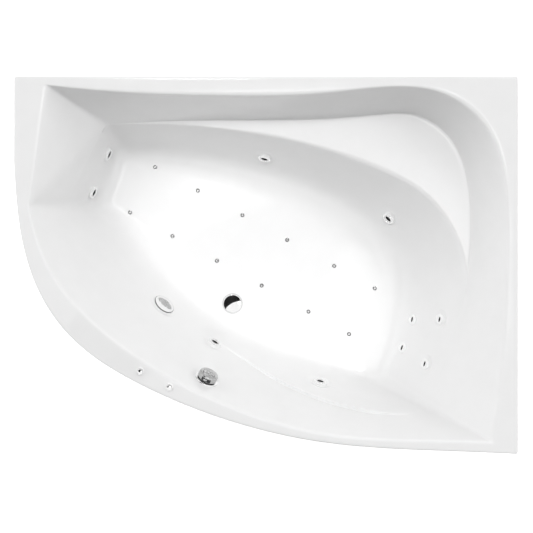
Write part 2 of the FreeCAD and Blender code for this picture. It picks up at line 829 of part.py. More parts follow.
def overflow_run():
    """Level direction from the drain to the overflow pipe's foot."""
    foot = overflow_drop()
    return Vector(foot.x - drain_frame.Base.x, foot.y - drain_frame.Base.y, 0).normalize()


def cable_route():
    """Way of the lift cable from the knob down to the plug's lifter, clear of the overflow pipe."""
    level = overflow_frame.Rotation.multVec(Vector(1, 0, 0))
    height = size("overflow_pipe_radius")
    start = overflow_frame.multVec(Vector(0, height, -size("overflow_body_length")))
    clear = start - inward_of(overflow_frame) * size("overflow_bend")
    side = clear + (level - UP) * size("overflow_bend")
    centre = Vector(drain_frame.Base.x, drain_frame.Base.y, overflow_run_z())
    foot = Vector(side.x, side.y, centre.z)
    reach = size("drain_body_radius") - size("cable_radius")
    end = centre + Rotation(UP, CABLE_TURN).multVec(overflow_run()) * reach
    return [start, clear, side, foot, end]


def cable_socket():
    """Blind hole in the waste body that takes the cable's end."""
    foot, end = cable_route()[-2:]
    return straight(end, end + (foot - end).normalize() * size("drain_body_radius"),
                    size("cable_radius") + size("seat_gap"))


def waste_trap():
    top = board_top - size("seat_gap") - size("drain_body_length")
    base = Vector(drain_frame.Base.x, drain_frame.Base.y, top - size("seat_gap") - size("trap_height"))
    thickness = size("trap_wall")
    shape = Part.makeCylinder(size("trap_radius"), size("trap_height"), base)
    outlet_start = base + UP * (size("trap_height") / 2)
    collar_end = outlet_start - Vector(size("trap_radius") + size("outlet_collar_length"), 0, 0)
    outlet_end = collar_end - Vector(size("outlet_length"), 0, 0)
    shape = shape.fuse(straight(outlet_start, collar_end, size("outlet_collar_radius")))
    shape = shape.fuse(straight(outlet_start, outlet_end, size("outlet_radius")))
    inside = Part.makeCylinder(size("trap_radius") - thickness, size("trap_height") - 2 * thickness,
                               base + UP * thickness)
    mouth = Part.makeCylinder(size("drain_tail_radius") + size("seat_gap"), size("trap_height"),
                              base + UP * thickness)
    shape = shape.cut([inside, mouth, straight(outlet_start, outlet_end, size("outlet_bore"))])
    made("waste_trap", shape)


drain()
waste_trap()


# Overflow: flange, rotary knob, body, pipe and the cable that lifts the plug
def overflow():
    plate = rod("overflow_plate", "overflow_flange_radius", "overflow_flange_height")
    collar = rod("overflow_collar", "overflow_hole_radius", "overflow_body_length / 2",
                 "-overflow_body_length / 2")
    mouth = rod("overflow_mouth", "overflow_mouth_radius", "overflow_body_length * 2",
                "-overflow_body_length")
    ring = cut("overflow_ring", fuse("overflow_blank", plate, collar), mouth)
    bush = rod("overflow_bush", "knob_shaft_radius + trap_wall", "overflow_flange_height * 3",
               "-overflow_flange_height * 3")
    rib = block("overflow_rib", "overflow_mouth_radius + overflow_hole_radius", "drain_rib_width",
                "overflow_flange_height",
                ("-(overflow_mouth_radius + overflow_hole_radius) / 2", "-drain_rib_width / 2",
                 "-overflow_flange_height * 2"))
    shaft_bore = rod("overflow_shaft_bore", "knob_shaft_radius + run_gap", "overflow_body_length * 2",
                     "-overflow_body_length")
    flange = cut("overflow_fitting", fuse("overflow_with_bush", ring, bush, rib), shaft_bore)
    node("overflow_flange", flange, overflow_frame)

    base = "overflow_flange_height + knob_gap"
    grip = cone("knob_grip", "knob_radius", "knob_radius - knob_gap", "knob_height", base)
    shaft = rod("knob_shaft", "knob_shaft_radius", "knob_shaft_length + " + base, "-knob_shaft_length")
    handle = block("knob_handle", "knob_radius * 2 - knob_gap * 4", "knob_radius / 2", "knob_height / 3",
                   ("-knob_radius + knob_gap * 2", "-knob_radius / 4", base + " + knob_height"))
    node("overflow_knob", fuse("knob", grip, shaft, handle), overflow_frame)

    start = along(overflow_frame, -wall - size("seat_gap"))
    end = along(overflow_frame, -size("overflow_body_length"))
    outer = size("overflow_hole_radius") + size("trap_wall") + size("seat_gap")
    drop = overflow_drop()
    stub_end = drop - UP * (outer + size("overflow_pipe_radius"))
    body = straight(start, end, outer).fuse(straight(drop, stub_end, size("overflow_pipe_radius")))
    floor_of_cup = along(overflow_frame, -size("overflow_body_length") + size("trap_wall"))
    cup = straight(start + inward_of(overflow_frame), floor_of_cup, outer - size("trap_wall"))
    made("overflow_body", body.cut([cup, straight(drop, stub_end, size("overflow_pipe_bore"))]))

    entry = Vector(drain_frame.Base.x, drain_frame.Base.y, overflow_run_z())
    reach = entry + overflow_run() * (size("drain_body_radius") + size("overflow_pipe_radius"))
    corner = Vector(drop.x, drop.y, overflow_run_z())
    points = [stub_end, corner, reach]
    tube = pipe(points, size("overflow_pipe_radius"), size("overflow_bend"))
    made("overflow_pipe", tube.cut(pipe(points, size("overflow_pipe_bore"), size("overflow_bend"))))


overflow()


made("lift_cable", pipe(cable_route(), size("cable_radius"), size("cable_bend")))


# Suction: body, domed grille and the pipe to the pump
def plane_of(body, role):
    return [feature for feature in body.Origin.OriginFeatures if feature.Role == role][0]


def sketch_on(body, name, role):
    sketch = body.newObject("Sketcher::SketchObject", name)
    sketch.AttachmentSupport = [(plane_of(body, role), "")]
    sketch.MapMode = "FlatFace"
    return sketch


def closed_outline(sketch, points):
    for start, end in zip(points, points[1:] + points[:1]):
        sketch.addGeometry(Part.LineSegment(start, end))


def through_pocket(body, name, sketch):
    pocket = body.newObject("PartDesign::Pocket", name)
    pocket.Profile = sketch
    pocket.Type = "ThroughAll"
    pocket.Reversed = True
    return pocket


def suction_grille():
    body = doc.addObject("PartDesign::Body", "grille")
    profile = sketch_on(body, "grille_profile", "XZ_Plane")
    base = size("suction_flange_height") + size("seat_gap")
    edge = base + size("grille_edge")
    crown = base + size("grille_height")
    radius = size("grille_radius")
    closed_outline(profile, [Vector(0, base, 0), Vector(radius, base, 0), Vector(radius, edge, 0),
                             Vector(radius * GRILLE_SHOULDER, (edge + crown) / 2, 0),
                             Vector(radius * GRILLE_CROWN, crown, 0), Vector(0, crown, 0)])
    dome = body.newObject("PartDesign::Revolution", "grille_dome")
    dome.Profile = profile
    dome.ReferenceAxis = (profile, ["V_Axis"])
    dome.Angle = 360
    doc.recompute()
    spokes = sketch_on(body, "grille_holes", "XY_Plane")
    for share in GRILLE_HOLE_SHARES:
        circle = Part.Circle(Vector(radius * share, 0, 0), UP, size("grille_hole_radius"))
        number = spokes.addGeometry(circle)
        spokes.addConstraint(Sketcher.Constraint("Radius", number, size("grille_hole_radius")))
        spokes.setExpression(f"Constraints[{number}]", "sizes.grille_hole_radius")
    doc.recompute()
    drilled = through_pocket(body, "grille_spoke", spokes)
    doc.recompute()
    pattern = body.newObject("PartDesign::PolarPattern", "grille_pattern")
    pattern.Originals = [drilled]
    pattern.Axis = (spokes, ["N_Axis"])
    pattern.Angle = 360
    pattern.Occurrences = GRILLE_SPOKES
    body.Tip = pattern
    node("suction_grille", body, suction_frame)


def suction():
    flange = rod("suction_flange", "suction_flange_radius", "suction_flange_height")
    barrel = rod("suction_barrel", "suction_barrel_radius", "suction_barrel_length",
                 "-suction_barrel_length")
    bore = rod("suction_bore_rod", "suction_bore", "suction_barrel_length * 3",
               "-suction_barrel_length * 2")
    node("suction_body", cut("suction_fitting", fuse("suction_blank", flange, barrel), bore), suction_frame)
    suction_grille()

    start = along(suction_frame, -size("suction_barrel_length"))
    clear = along(suction_frame, -size("suction_barrel_length") - size("suction_bend"))
    inlet = pump_frame.multVec(Vector(0, 0, size("inlet_length")))
    facing = inlet + PUMP_AXIS * (SUCTION_RUN * (inlet - clear).Length)
    points = [start, clear, facing, inlet]
    tube = pipe(points, size("suction_pipe_radius"), size("suction_bend"))
    made("suction_pipe", tube.cut(pipe(points, size("suction_pipe_bore"), size("suction_bend"))))


pump_axis_z = bar_top + size("tray_thickness") + size("pump_foot_height") + size("motor_radius")
pump_frame = Placement(spot(PUMP_FRONT, pump_axis_z),
                       Rotation(UP.cross(PUMP_AXIS), UP, PUMP_AXIS, "ZYX"))
suction()


# Pump: volute, motor, rotor, fan cover, terminal box, feet
def turned_up(item):
    """Turns a rod so that it stands up from the pump's axis."""
    item.Placement = Placement(item.Placement.Base, Rotation(Vector(1, 0, 0), -90))
    return item


def pump():
    case = rod("volute_case", "volute_radius", "volute_length", "-volute_length")
    inlet = rod("volute_inlet", "suction_pipe_radius + volute_wall", "inlet_length")
    outlet = turned_up(rod("volute_outlet", "discharge_radius", "volute_radius + discharge_length",
                           "-volute_length / 2"))
    chamber = rod("volute_chamber", "volute_radius - volute_wall * 2", "volute_length - volute_wall * 2",
                  "-volute_length + volute_wall")
    inlet_bore = rod("volute_inlet_bore", "suction_pipe_bore", "inlet_length * 2", "-volute_wall * 2")
    outlet_bore = turned_up(rod("volute_outlet_bore", "discharge_bore", "volute_radius * 3",
                                "-volute_length / 2"))
    shaft_hole = rod("volute_shaft_hole", "shaft_radius + run_gap", "volute_length", "-volute_length * 1.5")
    volute = cut("volute", fuse("volute_blank", case, inlet, outlet), chamber, inlet_bore, outlet_bore,
                 shaft_hole)
    node("pump_volute", volute, pump_frame)

    motor_end = "-volute_length - motor_length"
    stator = rod("motor_case", "motor_radius", "motor_length", motor_end)
    beyond = motor_end + " - motor_length / 2"
    motor_bore = rod("motor_bore", "shaft_radius + run_gap", "motor_length * 2", beyond)
    node("pump_motor", cut("motor", stator, motor_bore), pump_frame)

    cover_end = motor_end + " - fan_cover_length"
    cover = rod("fan_cover_case", "motor_radius", "fan_cover_length", cover_end)
    inside = rod("fan_cover_inside", "motor_radius - bar_wall", "fan_cover_length",
                 cover_end + " + bar_wall")
    node("pump_fan_cover", cut("fan_cover", cover, inside), pump_frame)

    length = "terminal_box_length"
    box = block("terminal_case", "terminal_box_height + motor_radius / 2", "terminal_box_width", length,
                ("-motor_radius - terminal_box_height", "-terminal_box_width / 2",
                 "-volute_length - motor_length / 2 - terminal_box_length / 2"))
    saddle = rod("terminal_saddle", "motor_radius + seat_gap", "motor_length * 2", beyond)
    node("pump_terminal_box", cut("terminal_box", box, saddle), pump_frame)


def pump_rotor():
    """Shaft with the impeller at its front and the cooling fan at its back."""
    back = -size("volute_length") - size("motor_length")
    front = -size("volute_wall") * 2
    fan_z = back - size("fan_cover_length") / 2
    shape = straight(Vector(0, 0, fan_z - size("volute_wall")), Vector(0, 0, front), size("shaft_radius"))
    disc_z = -size("volute_length") + size("volute_wall") * 2
    for radius, z in ((size("impeller_radius"), disc_z), (size("shaft_radius") * 2, fan_z)):
        shape = shape.fuse(Part.makeCylinder(radius, size("volute_wall"), Vector(0, 0, z)))
    blades = []
    thickness = size("volute_wall") / 2
    for number in range(ROTOR_BLADES):
        turn = Rotation(UP, 360 * number / ROTOR_BLADES)
        vane = Part.makeBox(size("impeller_radius"), thickness, size("impeller_height"),
                            Vector(0, -thickness / 2, disc_z))
        fan_blade = Part.makeBox(size("fan_radius"), thickness, size("volute_wall") * 2,
                                 Vector(0, -thickness / 2, fan_z - size("volute_wall")))
        for blade in (vane, fan_blade):
            blade.Placement = Placement(Vector(), turn)
            blades.append(blade)
    made("pump_rotor", shape.fuse(blades).removeSplitter(), pump_frame)


def pump_feet():
    solids = []
    axis_height = size("pump_foot_height") + size("motor_radius")
    width = size("pump_foot_width")
    for share in PUMP_FEET_SHARES:
        middle = -size("volute_length") - size("motor_length") * share
        foot = Part.makeBox(size("motor_radius") * 2 - width, axis_height / 2, width,
                            Vector(width / 2 - size("motor_radius"), -axis_height, middle - width / 2))
        saddle = straight(Vector(0, 0, middle - width), Vector(0, 0, middle + width),
                          size("motor_radius") + size("seat_gap"))
        solids.append(foot.cut(saddle))
    made("pump_feet", Part.makeCompound(solids), pump_frame)


pump()
pump_rotor()
pump_feet()


# Water manifold: one ring of pipe with a stub to every jet
def water_manifold():
    offset = size("manifold_offset")
    outer = size("manifold_radius")
    inner = size("manifold_bore")
    bend = size("manifold_bend")
    ends = [along(frame, -offset) for frame in side_jet_frames]
    left_back, left_front, back_left, back_right, front_left, front_right = ends
    port = pump_frame.multVec(Vector(0, size("volute_radius") + size("discharge_length"),
                                     -size("volute_length") / 2))
    tee = port + UP * (2 * outer)
    back_corner = spot(MANIFOLD_BACK_CORNER, (left_back.z + back_left.z) / 2)
    left_corner = spot(MANIFOLD_LEFT_CORNER, (tee.z + left_front.z) / 2)
    rest_points = []
    for pair in (back_jet_frames[:2], back_jet_frames[2:]):
        first, second = [along(frame, -offset) for frame in pair]
        rest_points.append((first + second) * 0.5)
    points = [front_right, front_left, tee, left_corner, left_front, left_back, back_corner, back_left,
              back_right] + rest_points
    shape = pipe(points, outer, bend)
    bores = [pipe(points, inner, bend), straight(port, tee, size("discharge_bore") - size("bar_wall"))]
    shape = shape.fuse(straight(port, tee, size("discharge_bore")))
    for frame, end in zip(side_jet_frames, ends):
        back = along(frame, -size("jet_barrel_length"))
        shape = shape.fuse(straight(back, end, size("stub_radius")))
        bores.append(straight(back, end, size("stub_bore")))
    for number, frame in enumerate(back_jet_frames):
        back = along(frame, -size("back_jet_barrel_length"))
        turn = along(frame, -size("back_jet_barrel_length") - 2 * size("stub_radius"))
        branch = [back, turn, rest_points[number // 2]]
        shape = shape.fuse(pipe(branch, size("stub_radius"), 2 * size("stub_radius")))
        bores.append(pipe(branch, size("stub_bore"), 2 * size("stub_radius")))
    shape = shape.cut(bores)
    for end, inside in ((points[0], points[1]), (points[-1], points[-2])):
        outwards = (end - inside).normalize() * size("stub_radius")
        cap = straight(end, end + outwards, outer)
        shape = shape.fuse(cap)
    made("water_manifold", shape)


water_manifold()


# Base board under the floor, with holes for the drain, the air jets and the screws
def bar_places():
    """X of the three crossbars: two run between air jets, one stands under the right end."""
    left = (air_frames[0].Base.x + air_frames[6].Base.x) / 2
    middle = (air_frames[3].Base.x + air_frames[10].Base.x) / 2
    return [left, middle, RIGHT_BAR * half_length]


def screw_points():
    return [Vector(bar_places()[bar], share * half_width, 0) for bar, share in BOARD_SCREWS]


def board_outline():
    """The floor's flat part, drawn in by the board's inset."""
    step, floor = basin_rings(0)[2:]
    share = wall_share(0, ledge_z - floor_z)
    flat = [between(low, high, share) for low, high in zip(floor, step)]
    flat = grown(flat, -size("board_inset"))
    return flat[0][::BOARD_STRIDE] + flat[2][::BOARD_STRIDE]


def base_board():
    body = doc.addObject("PartDesign::Body", "board")
    outline = sketch_on(body, "board_outline", "XY_Plane")
    closed_outline(outline, board_outline())
    plate = body.newObject("PartDesign::Pad", "board_plate")
    plate.Profile = outline
    plate.setExpression("Length", "sizes.board_thickness")
    doc.recompute()
    drills = sketch_on(body, "board_holes", "XY_Plane")
    margin = size("board_hole_margin")
    for frame in air_frames:
        centre = Vector(frame.Base.x, frame.Base.y, 0)
        drills.addGeometry(Part.Circle(centre, UP, size("air_jet_collar_radius") + margin))
    centre = Vector(drain_frame.Base.x, drain_frame.Base.y, 0)
    drills.addGeometry(Part.Circle(centre, UP, size("drain_body_flange") + margin))
    for point in screw_points():
        drills.addGeometry(Part.Circle(point, UP, size("screw_radius") + size("run_gap")))
    doc.recompute()
    through_pocket(body, "board_drilled", drills)
    node("base_board", body, Placement(Vector(0, 0, bar_top), Rotation()))


base_board()


# Steel frame: crossbars, rails, posts and the pads under the rim
def front_edge_at(x):
    """Point and level inward direction of the rim's front edge at an X."""
    edge = curve(plan(OUTLINE_FRONT))
    probe = Part.makeLine(Vector(x, -2 * half_width, 0), Vector(x, 0, 0))
    point = edge.distToShape(probe)[1][0][0]
    tangent = edge.tangentAt(edge.Curve.parameter(point))
    inward = tangent.cross(UP)
    return point, inward if inward.y > 0 else -inward


def post_frames():
    """Frames of the posts, with Y into the tub, at the two ends of each crossbar."""
    depth = wall + size("post_gap") + size("post_thickness") / 2
    frames = []
    for x in bar_places():
        point, inward = front_edge_at(x)
        turn = Rotation(inward.cross(UP), inward, UP, "ZYX")
        frames.append(Placement(point + inward * depth, turn))
        back = Vector(x, half_width - depth, 0)
        frames.append(Placement(back, Rotation()))
    return frames


def square_tube(name, length, width, height, place, along_x):
    """Hollow bar of a given length, lying along X or along Y."""
    outside = doc.addObject("Part::Box", name + "_outside")
    inside = doc.addObject("Part::Box", name + "_inside")
    run, cross = ("Length", "Width") if along_x else ("Width", "Length")
    for item in (outside, inside):
        setattr(item, run, length)
        item.Placement.Base = place
    outside.setExpression(cross, formula(width))
    outside.setExpression("Height", formula(height))
    inside.setExpression(cross, formula(width + " - 2 * bar_wall"))
    inside.setExpression("Height", formula(height + " - 2 * bar_wall"))
    shift = Vector(0, 1, 1) if along_x else Vector(1, 0, 1)
    inside.Placement.Base = place + shift * size("bar_wall")
    return cut(name, outside, inside)


def foot_frames():
    frames = []
    for number, x in enumerate(bar_places()):
        front = post_list[2 * number].Base.y + size("foot_inset_front")
        back = post_list[2 * number + 1].Base.y - size("foot_inset_back")
        frames += [Placement(Vector(x, y, 0), Rotation()) for y in (front, back)]
    return frames


def frame_bars():
    bars = []
    width = size("bar_width")
    for number, x in enumerate(bar_places()):
        front = post_list[2 * number].Base.y - size("post_thickness") / 2
        back = post_list[2 * number + 1].Base.y + size("post_thickness") / 2
        bars.append(square_tube(f"crossbar_{number}", back - front, "bar_width", "bar_height",
                                Vector(x - width / 2, front, bar_bottom), False))
    left = bar_places()[0] - width / 2
    length = bar_places()[2] + width / 2 - left
    for side, share in RAILS.items():
        y = share * half_width - width / 2
        bars.append(square_tube(f"rail_{side}", length, "bar_width", "rail_height",
                                Vector(left, y, bar_bottom - size("rail_height")), True))
    doc.recompute()
    drills = []
    for points, radius in (([frame.Base for frame in foot_list], "foot_stud_radius"),
                           (screw_points(), "screw_radius")):
        for point in points:
            drills.append(straight(point, point + UP * rim_z, size(radius) + size("hole_gap")))
    made("frame_bars", Part.makeCompound([bar.Shape.cut(drills) for bar in bars]))


def frame_posts():
    height = rim_z - wall - size("pad_thickness") - bar_top
    width = size("post_width")
    thickness = size("post_thickness")
    corner = Vector(-width / 2, -thickness / 2, bar_top)
    posts = []
    pads = []
    for frame in post_list:
        post = Part.makeBox(width, thickness, height, corner)
        pad = Part.makeBox(width, thickness, size("pad_thickness"), corner + UP * height)
        for solid, group in ((post, posts), (pad, pads)):
            solid.Placement = frame.multiply(solid.Placement)
            group.append(solid)
    made("frame_posts", Part.makeCompound(posts))
    made("rim_pads", Part.makeCompound(pads))


def board_screws():
    head = rod("screw_head", "screw_head_radius", "screw_head_height", "-screw_head_height")
    shank = rod("screw_shank", "screw_radius", "bar_height + board_thickness / 2")
    frames = [Placement(point + UP * bar_bottom, Rotation()) for point in screw_points()]
    copies("board_screws", fuse("screw", head, shank), frames)


def levelling_feet():
    pad = cone("foot_pad", "foot_pad_radius", "foot_stud_radius * 2", "foot_pad_height")
    stud = rod("foot_stud", "foot_stud_radius", "rim_height - basin_depth - shell_wall - board_thickness"
               " + nut_height + foot_stud_end")
    foot = fuse("foot", pad, stud)
    doc.recompute()
    for number, frame in enumerate(foot_list, start=1):
        made(f"levelling_foot_{number}", foot.Shape.copy(), frame)

    blank = doc.addObject("Part::Prism", "nut_blank")
    blank.Polygon = 6
    blank.setExpression("Circumradius", "sizes.nut_radius")
    blank.setExpression("Height", "sizes.nut_height")
    nut = cut("nut", blank, rod("nut_bore", "foot_stud_radius + run_gap", "nut_height * 3", "-nut_height"))
    places = []
    for frame in foot_list:
        for z in (bar_bottom - size("nut_height"), bar_top):
            places.append(Placement(frame.Base + UP * z, Rotation()))
    copies("foot_nuts", nut, places)


post_list = post_frames()
foot_list = foot_frames()
frame_bars()
frame_posts()
board_screws()
levelling_feet()


def unit_trays():
    """Plates on the crossbars that carry the pump and the blower."""
    thickness = size("tray_thickness")
    right = bar_places()[0] + size("bar_width") / 2
    left = TRAY_LEFT * half_length
    front = TRAY_FRONT * half_width
    pump_plate = Part.makeBox(right - left, TRAY_BACK * half_width - front, thickness,
                              Vector(left, front, bar_top))
    reach = size("blower_radius")
    corner = Vector(blower_foot.x - reach, blower_foot.y - reach, bar_top)
    far = bar_places()[2] + size("bar_width") / 2
    blower_plate = Part.makeBox(far - corner.x, 2 * reach, thickness, corner)
    stud = foot_list[4].Base
    notch = straight(stud, stud + UP * rim_z, size("nut_radius") + size("hole_gap"))
    made("unit_trays", Part.makeCompound([pump_plate, blower_plate.cut(notch)]))


unit_trays()


# Push buttons on the rim, with their air tubes
def buttons():
    plate = cone("bezel_plate", "bezel_radius", "bezel_radius - bezel_height / 2", "bezel_height")
    sleeve = rod("bezel_sleeve", "bezel_sleeve_radius", "bezel_sleeve_depth", "-bezel_sleeve_depth")
    bore = rod("bezel_bore", "button_radius + seat_gap", "bezel_sleeve_depth * 3",
               "-bezel_sleeve_depth * 2")
    copies("button_bezels", cut("bezel", fuse("bezel_blank", plate, sleeve), bore), button_frames)

    stem = rod("button_stem", "button_radius", "button_depth + button_height", "-button_depth")
    crown = cone("button_crown", "button_radius", "button_radius - button_dome * 2", "button_dome",
                 "button_height")
    cap = fuse("button_cap", stem, crown)
    doc.recompute()
    for label, frame in zip(("water_button", "air_button"), button_frames):
        made(label, cap.Shape.copy(), frame)

    case = rod("button_case", "button_body_radius", "button_body_depth - shell_wall - seat_gap",
               "-button_body_depth")
    inside = rod("button_inside", "bezel_sleeve_radius + seat_gap", "button_body_depth",
                 "-button_floor")
    barb = rod("button_barb", "barb_radius", "barb_length", "-button_body_depth - barb_length")
    copies("button_bodies", fuse("button_body", cut("button_cup", case, inside), barb), button_frames)


def button_tubes():
    """Thin air tubes from the buttons to the pump's box and to the blower."""
    drop = size("button_body_depth") + size("barb_length")
    starts = [along(frame, -drop) for frame in button_frames]
    box_top = pump_frame.multVec(Vector(-size("motor_radius") - size("terminal_box_height") / 2,
                                        size("terminal_box_width") / 2,
                                        -size("volute_length") - size("motor_length") / 2))
    blower_top = blower_foot + UP * (size("blower_height") + size("blower_dome"))
    run = size("tube_bend")
    water = [starts[0], starts[0] - UP * run, spot(WATER_TUBE_TURN, (starts[0].z + box_top.z) / 2),
             box_top + UP * run, box_top]
    air = [starts[1], starts[1] - UP * (2 * run), spot(AIR_TUBE_TURNS[0], blower_top.z + run),
           spot(AIR_TUBE_TURNS[1], blower_top.z + run), blower_top + UP * run, blower_top]
    made("button_tubes", Part.makeCompound([pipe(points, size("tube_radius"), run)
                                            for points in (water, air)]))


def cable_glands():
    """Glands for the mains leads, on the end of the pump's box and on the blower's side."""
    box_end = -size("volute_length") - size("motor_length") / 2 - size("terminal_box_length") / 2
    box_middle = -size("motor_radius") - size("terminal_box_height") / 2
    turned = Rotation(UP, BLOWER_GLAND_TURN).multVec(Vector(1, 0, 0))
    side = blower_foot + UP * (size("gland_radius") * 2)
    side += turned * (size("blower_radius") + size("seat_gap"))
    glands = []
    for start, outwards in ((pump_frame.multVec(Vector(box_middle, 0, box_end)), -PUMP_AXIS),
                            (side, turned)):
        end = start + outwards * size("gland_length")
        gland = straight(start, end, size("gland_radius"))
        glands.append(gland.cut(straight(start, end, size("gland_bore"))))
    made("cable_glands", Part.makeCompound(glands))


buttons()
button_tubes()
cable_glands()

doc.recompute()
for item in doc.Objects:
    if "Invalid" in item.State or "Error" in item.State:
        raise RuntimeError(f"{item.Label} failed: {item.State}")
for label, item in nodes.items():
    if item.Shape.isNull() or not item.Shape.isValid():
        raise RuntimeError(f"{label} has no valid shape")
    if not item.Shape.Solids or not all(solid.isClosed() for solid in item.Shape.Solids):
        raise RuntimeError(f"{label} is not made of closed solids")

os.makedirs("parts", exist_ok=True)
for label, item in nodes.items():
    item.Shape.exportStep(f"parts/{label}.step")
print(len(nodes), "pieces written")
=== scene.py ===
"""Jetted bathtub: moulds the shell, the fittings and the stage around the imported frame."""

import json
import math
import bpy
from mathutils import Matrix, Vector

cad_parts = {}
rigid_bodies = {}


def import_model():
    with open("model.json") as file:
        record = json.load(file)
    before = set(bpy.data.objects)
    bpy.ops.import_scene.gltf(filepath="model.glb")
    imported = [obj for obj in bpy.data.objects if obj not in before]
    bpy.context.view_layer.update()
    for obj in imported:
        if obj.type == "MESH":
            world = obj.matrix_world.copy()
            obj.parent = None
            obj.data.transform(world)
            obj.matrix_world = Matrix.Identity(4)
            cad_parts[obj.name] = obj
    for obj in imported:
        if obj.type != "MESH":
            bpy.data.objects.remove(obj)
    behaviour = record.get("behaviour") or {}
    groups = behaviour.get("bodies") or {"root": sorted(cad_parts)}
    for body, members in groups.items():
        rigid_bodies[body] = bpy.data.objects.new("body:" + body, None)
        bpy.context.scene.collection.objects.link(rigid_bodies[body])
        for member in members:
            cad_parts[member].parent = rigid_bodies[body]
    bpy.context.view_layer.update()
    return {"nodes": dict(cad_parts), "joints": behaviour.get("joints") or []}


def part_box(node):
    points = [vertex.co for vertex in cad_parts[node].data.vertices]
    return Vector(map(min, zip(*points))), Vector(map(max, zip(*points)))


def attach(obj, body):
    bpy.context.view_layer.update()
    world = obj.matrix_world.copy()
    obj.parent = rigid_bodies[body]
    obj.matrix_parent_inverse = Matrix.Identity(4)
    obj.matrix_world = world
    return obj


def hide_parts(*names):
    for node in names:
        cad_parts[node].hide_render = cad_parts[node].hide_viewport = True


bl_info = {
    "name": "Jetted Bathtub",
    "version": (1, 0, 0),
    "blender": (4, 5, 0),
    "location": "View3D > Sidebar > Bathtub",
    "description": "Moulds the shell and the fittings of a jetted bathtub around its packed frame",
    "category": "Object",
}

from functools import partial

import bmesh
import bpy
import numpy as np
from bpy.props import FloatProperty, FloatVectorProperty, IntProperty, PointerProperty
from mathutils import Matrix, Vector

for item in list(bpy.data.objects):
    bpy.data.objects.remove(item)
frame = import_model()
joints = {joint["name"]: joint for joint in frame["joints"]}

MM = 0.001
HALF_PLAN = np.array([0.8, 0.6])
RIM_LEVEL = 0.600
LEDGE_LEVEL = 0.385
FLOOR_LEVEL = 0.160
SKIRT_LEVEL = 0.560
FLOOR_BLEND = 0.028
BLEND_LIFT = 0.006

# Plan curves of the shell, as shares of half the length and half the width
OUTLINE_FRONT = [
    (1.0, -1.0), (0.512, -0.972), (0.215, -0.936), (-0.141, -0.826), (-0.497, -0.633),
    (-0.782, -0.371), (-0.904, -0.134), (-0.964, 0.104), (-0.99, 0.341), (-1.0, 0.552)]
RIM_BACK = [
    (-0.869, 0.951), (-0.576, 0.914), (-0.167, 0.895), (0.251, 0.911), (0.562, 0.942),
    (0.699, 0.909), (0.87, 0.734), (0.948, 0.439), (0.95, -0.081)]
RIM_RIGHT = [(0.95, -0.081), (0.94, -0.377), (0.924, -0.609), (0.894, -0.933)]
RIM_FRONT = [
    (0.894, -0.933), (0.562, -0.923), (0.255, -0.894), (-0.022, -0.805), (-0.319, -0.638),
    (-0.606, -0.395), (-0.814, -0.115), (-0.901, 0.109), (-0.939, 0.319)]
LEDGE_OUTER = [
    (-0.67, 0.78), (-0.42, 0.801), (-0.12, 0.809), (0.23, 0.816), (0.5, 0.843), (0.61, 0.843),
    (0.76, 0.72), (0.843, 0.45), (0.836, -0.113)]
LEDGE_INNER = [
    (-0.67, 0.78), (-0.534, 0.785), (-0.322, 0.776), (-0.1, 0.742), (0.163, 0.672), (0.457, 0.538),
    (0.674, 0.376), (0.792, 0.168), (0.836, -0.113)]
LEDGE_RIGHT = [(0.836, -0.113), (0.785, -0.4)]
FLOOR_BACK = [
    (-0.642, 0.678), (-0.52, 0.665), (-0.345, 0.643), (-0.143, 0.596), (0.06, 0.527), (0.28, 0.42),
    (0.44, 0.28), (0.545, 0.1), (0.59, -0.165)]
FLOOR_RIGHT = [(0.59, -0.165), (0.564, -0.417), (0.489, -0.675)]
FLOOR_FRONT = [
    (0.489, -0.675), (0.349, -0.64), (0.151, -0.564), (-0.069, -0.452), (-0.266, -0.3),
    (-0.442, -0.083), (-0.596, 0.145), (-0.684, 0.268), (-0.737, 0.336)]

# Height of the armrest's edge along the front wall, from the right corner to the left one
ARMREST_LINE = [
    (0.0, 0.385), (0.093, 0.436), (0.168, 0.429), (0.246, 0.397), (0.318, 0.354), (0.421, 0.287),
    (0.506, 0.261), (0.62, 0.290), (0.8, 0.360), (1.0, 0.385)]
ARMREST_STEP = [(0.0, 0.0), (0.07, 0.0), (0.16, 1.0), (0.36, 1.0), (0.5, 0.0), (1.0, 0.0)]

# Rows and columns of the shell's mesh: lengths that space the columns of each side, the gap at a
# side's ends and its growth, the lean of the lower wall, the part of the floor with rows of its
# own, the columns repeated past the seam while a ring is rounded, and two of the four sides
SHELL_ROWS = {"skirt": 4, "rim": 10, "upper": 26, "ledge": 16, "lower": 34, "floor": 9}
BACK_RUN, BEND_RUN, RIGHT_RUN, FRONT_RUN = 1.45, 0.55, 0.52, 1.75
COLUMN_START, COLUMN_GROWTH = 0.003, 0.25
WALL_LEAN = 0.11
FLOOR_SHARE = 0.3
RING_OVERLAP = 30
FRONT_SIDE, LEFT_SIDE = 2, 3

# Radii of the wall fittings' flat seats, and of the holes of all fittings
SEATS = {"side_jet": 0.025, "back_jet": 0.019, "suction": 0.040, "overflow": 0.039}
BORES = {"side_jet": 0.0225, "back_jet": 0.0155, "suction": 0.0275, "overflow": 0.0265,
         "air_jet": 0.0061, "drain": 0.0255, "button": 0.0115}
DRILL_REACH = 0.03
# Seats: search for faces over shares of the fade and to a depth, and the part that is flattened
SEAT_FADES, SEAT_SEARCH, SEAT_DEPTH, SEAT_MARGIN = 1.6, 0.04, 0.03, 0.001
# Wall fittings placed by their solids: node, reach of one solid and its rise over the wall
WALL_SOLIDS = {"back_jet": ("back_jet_faces", 0.06, 0.0055),
               "suction": ("suction_grille", 0.2, 0.0113)}
AIR_CAP_REACH = 0.05
JETS = range(1, 7)
BUTTONS = ("water_button", "air_button")

# Angles in degrees under which edges are shaded smooth
SMOOTH, DOME_SMOOTH, SHELL_SMOOTH = 38, 50, 60

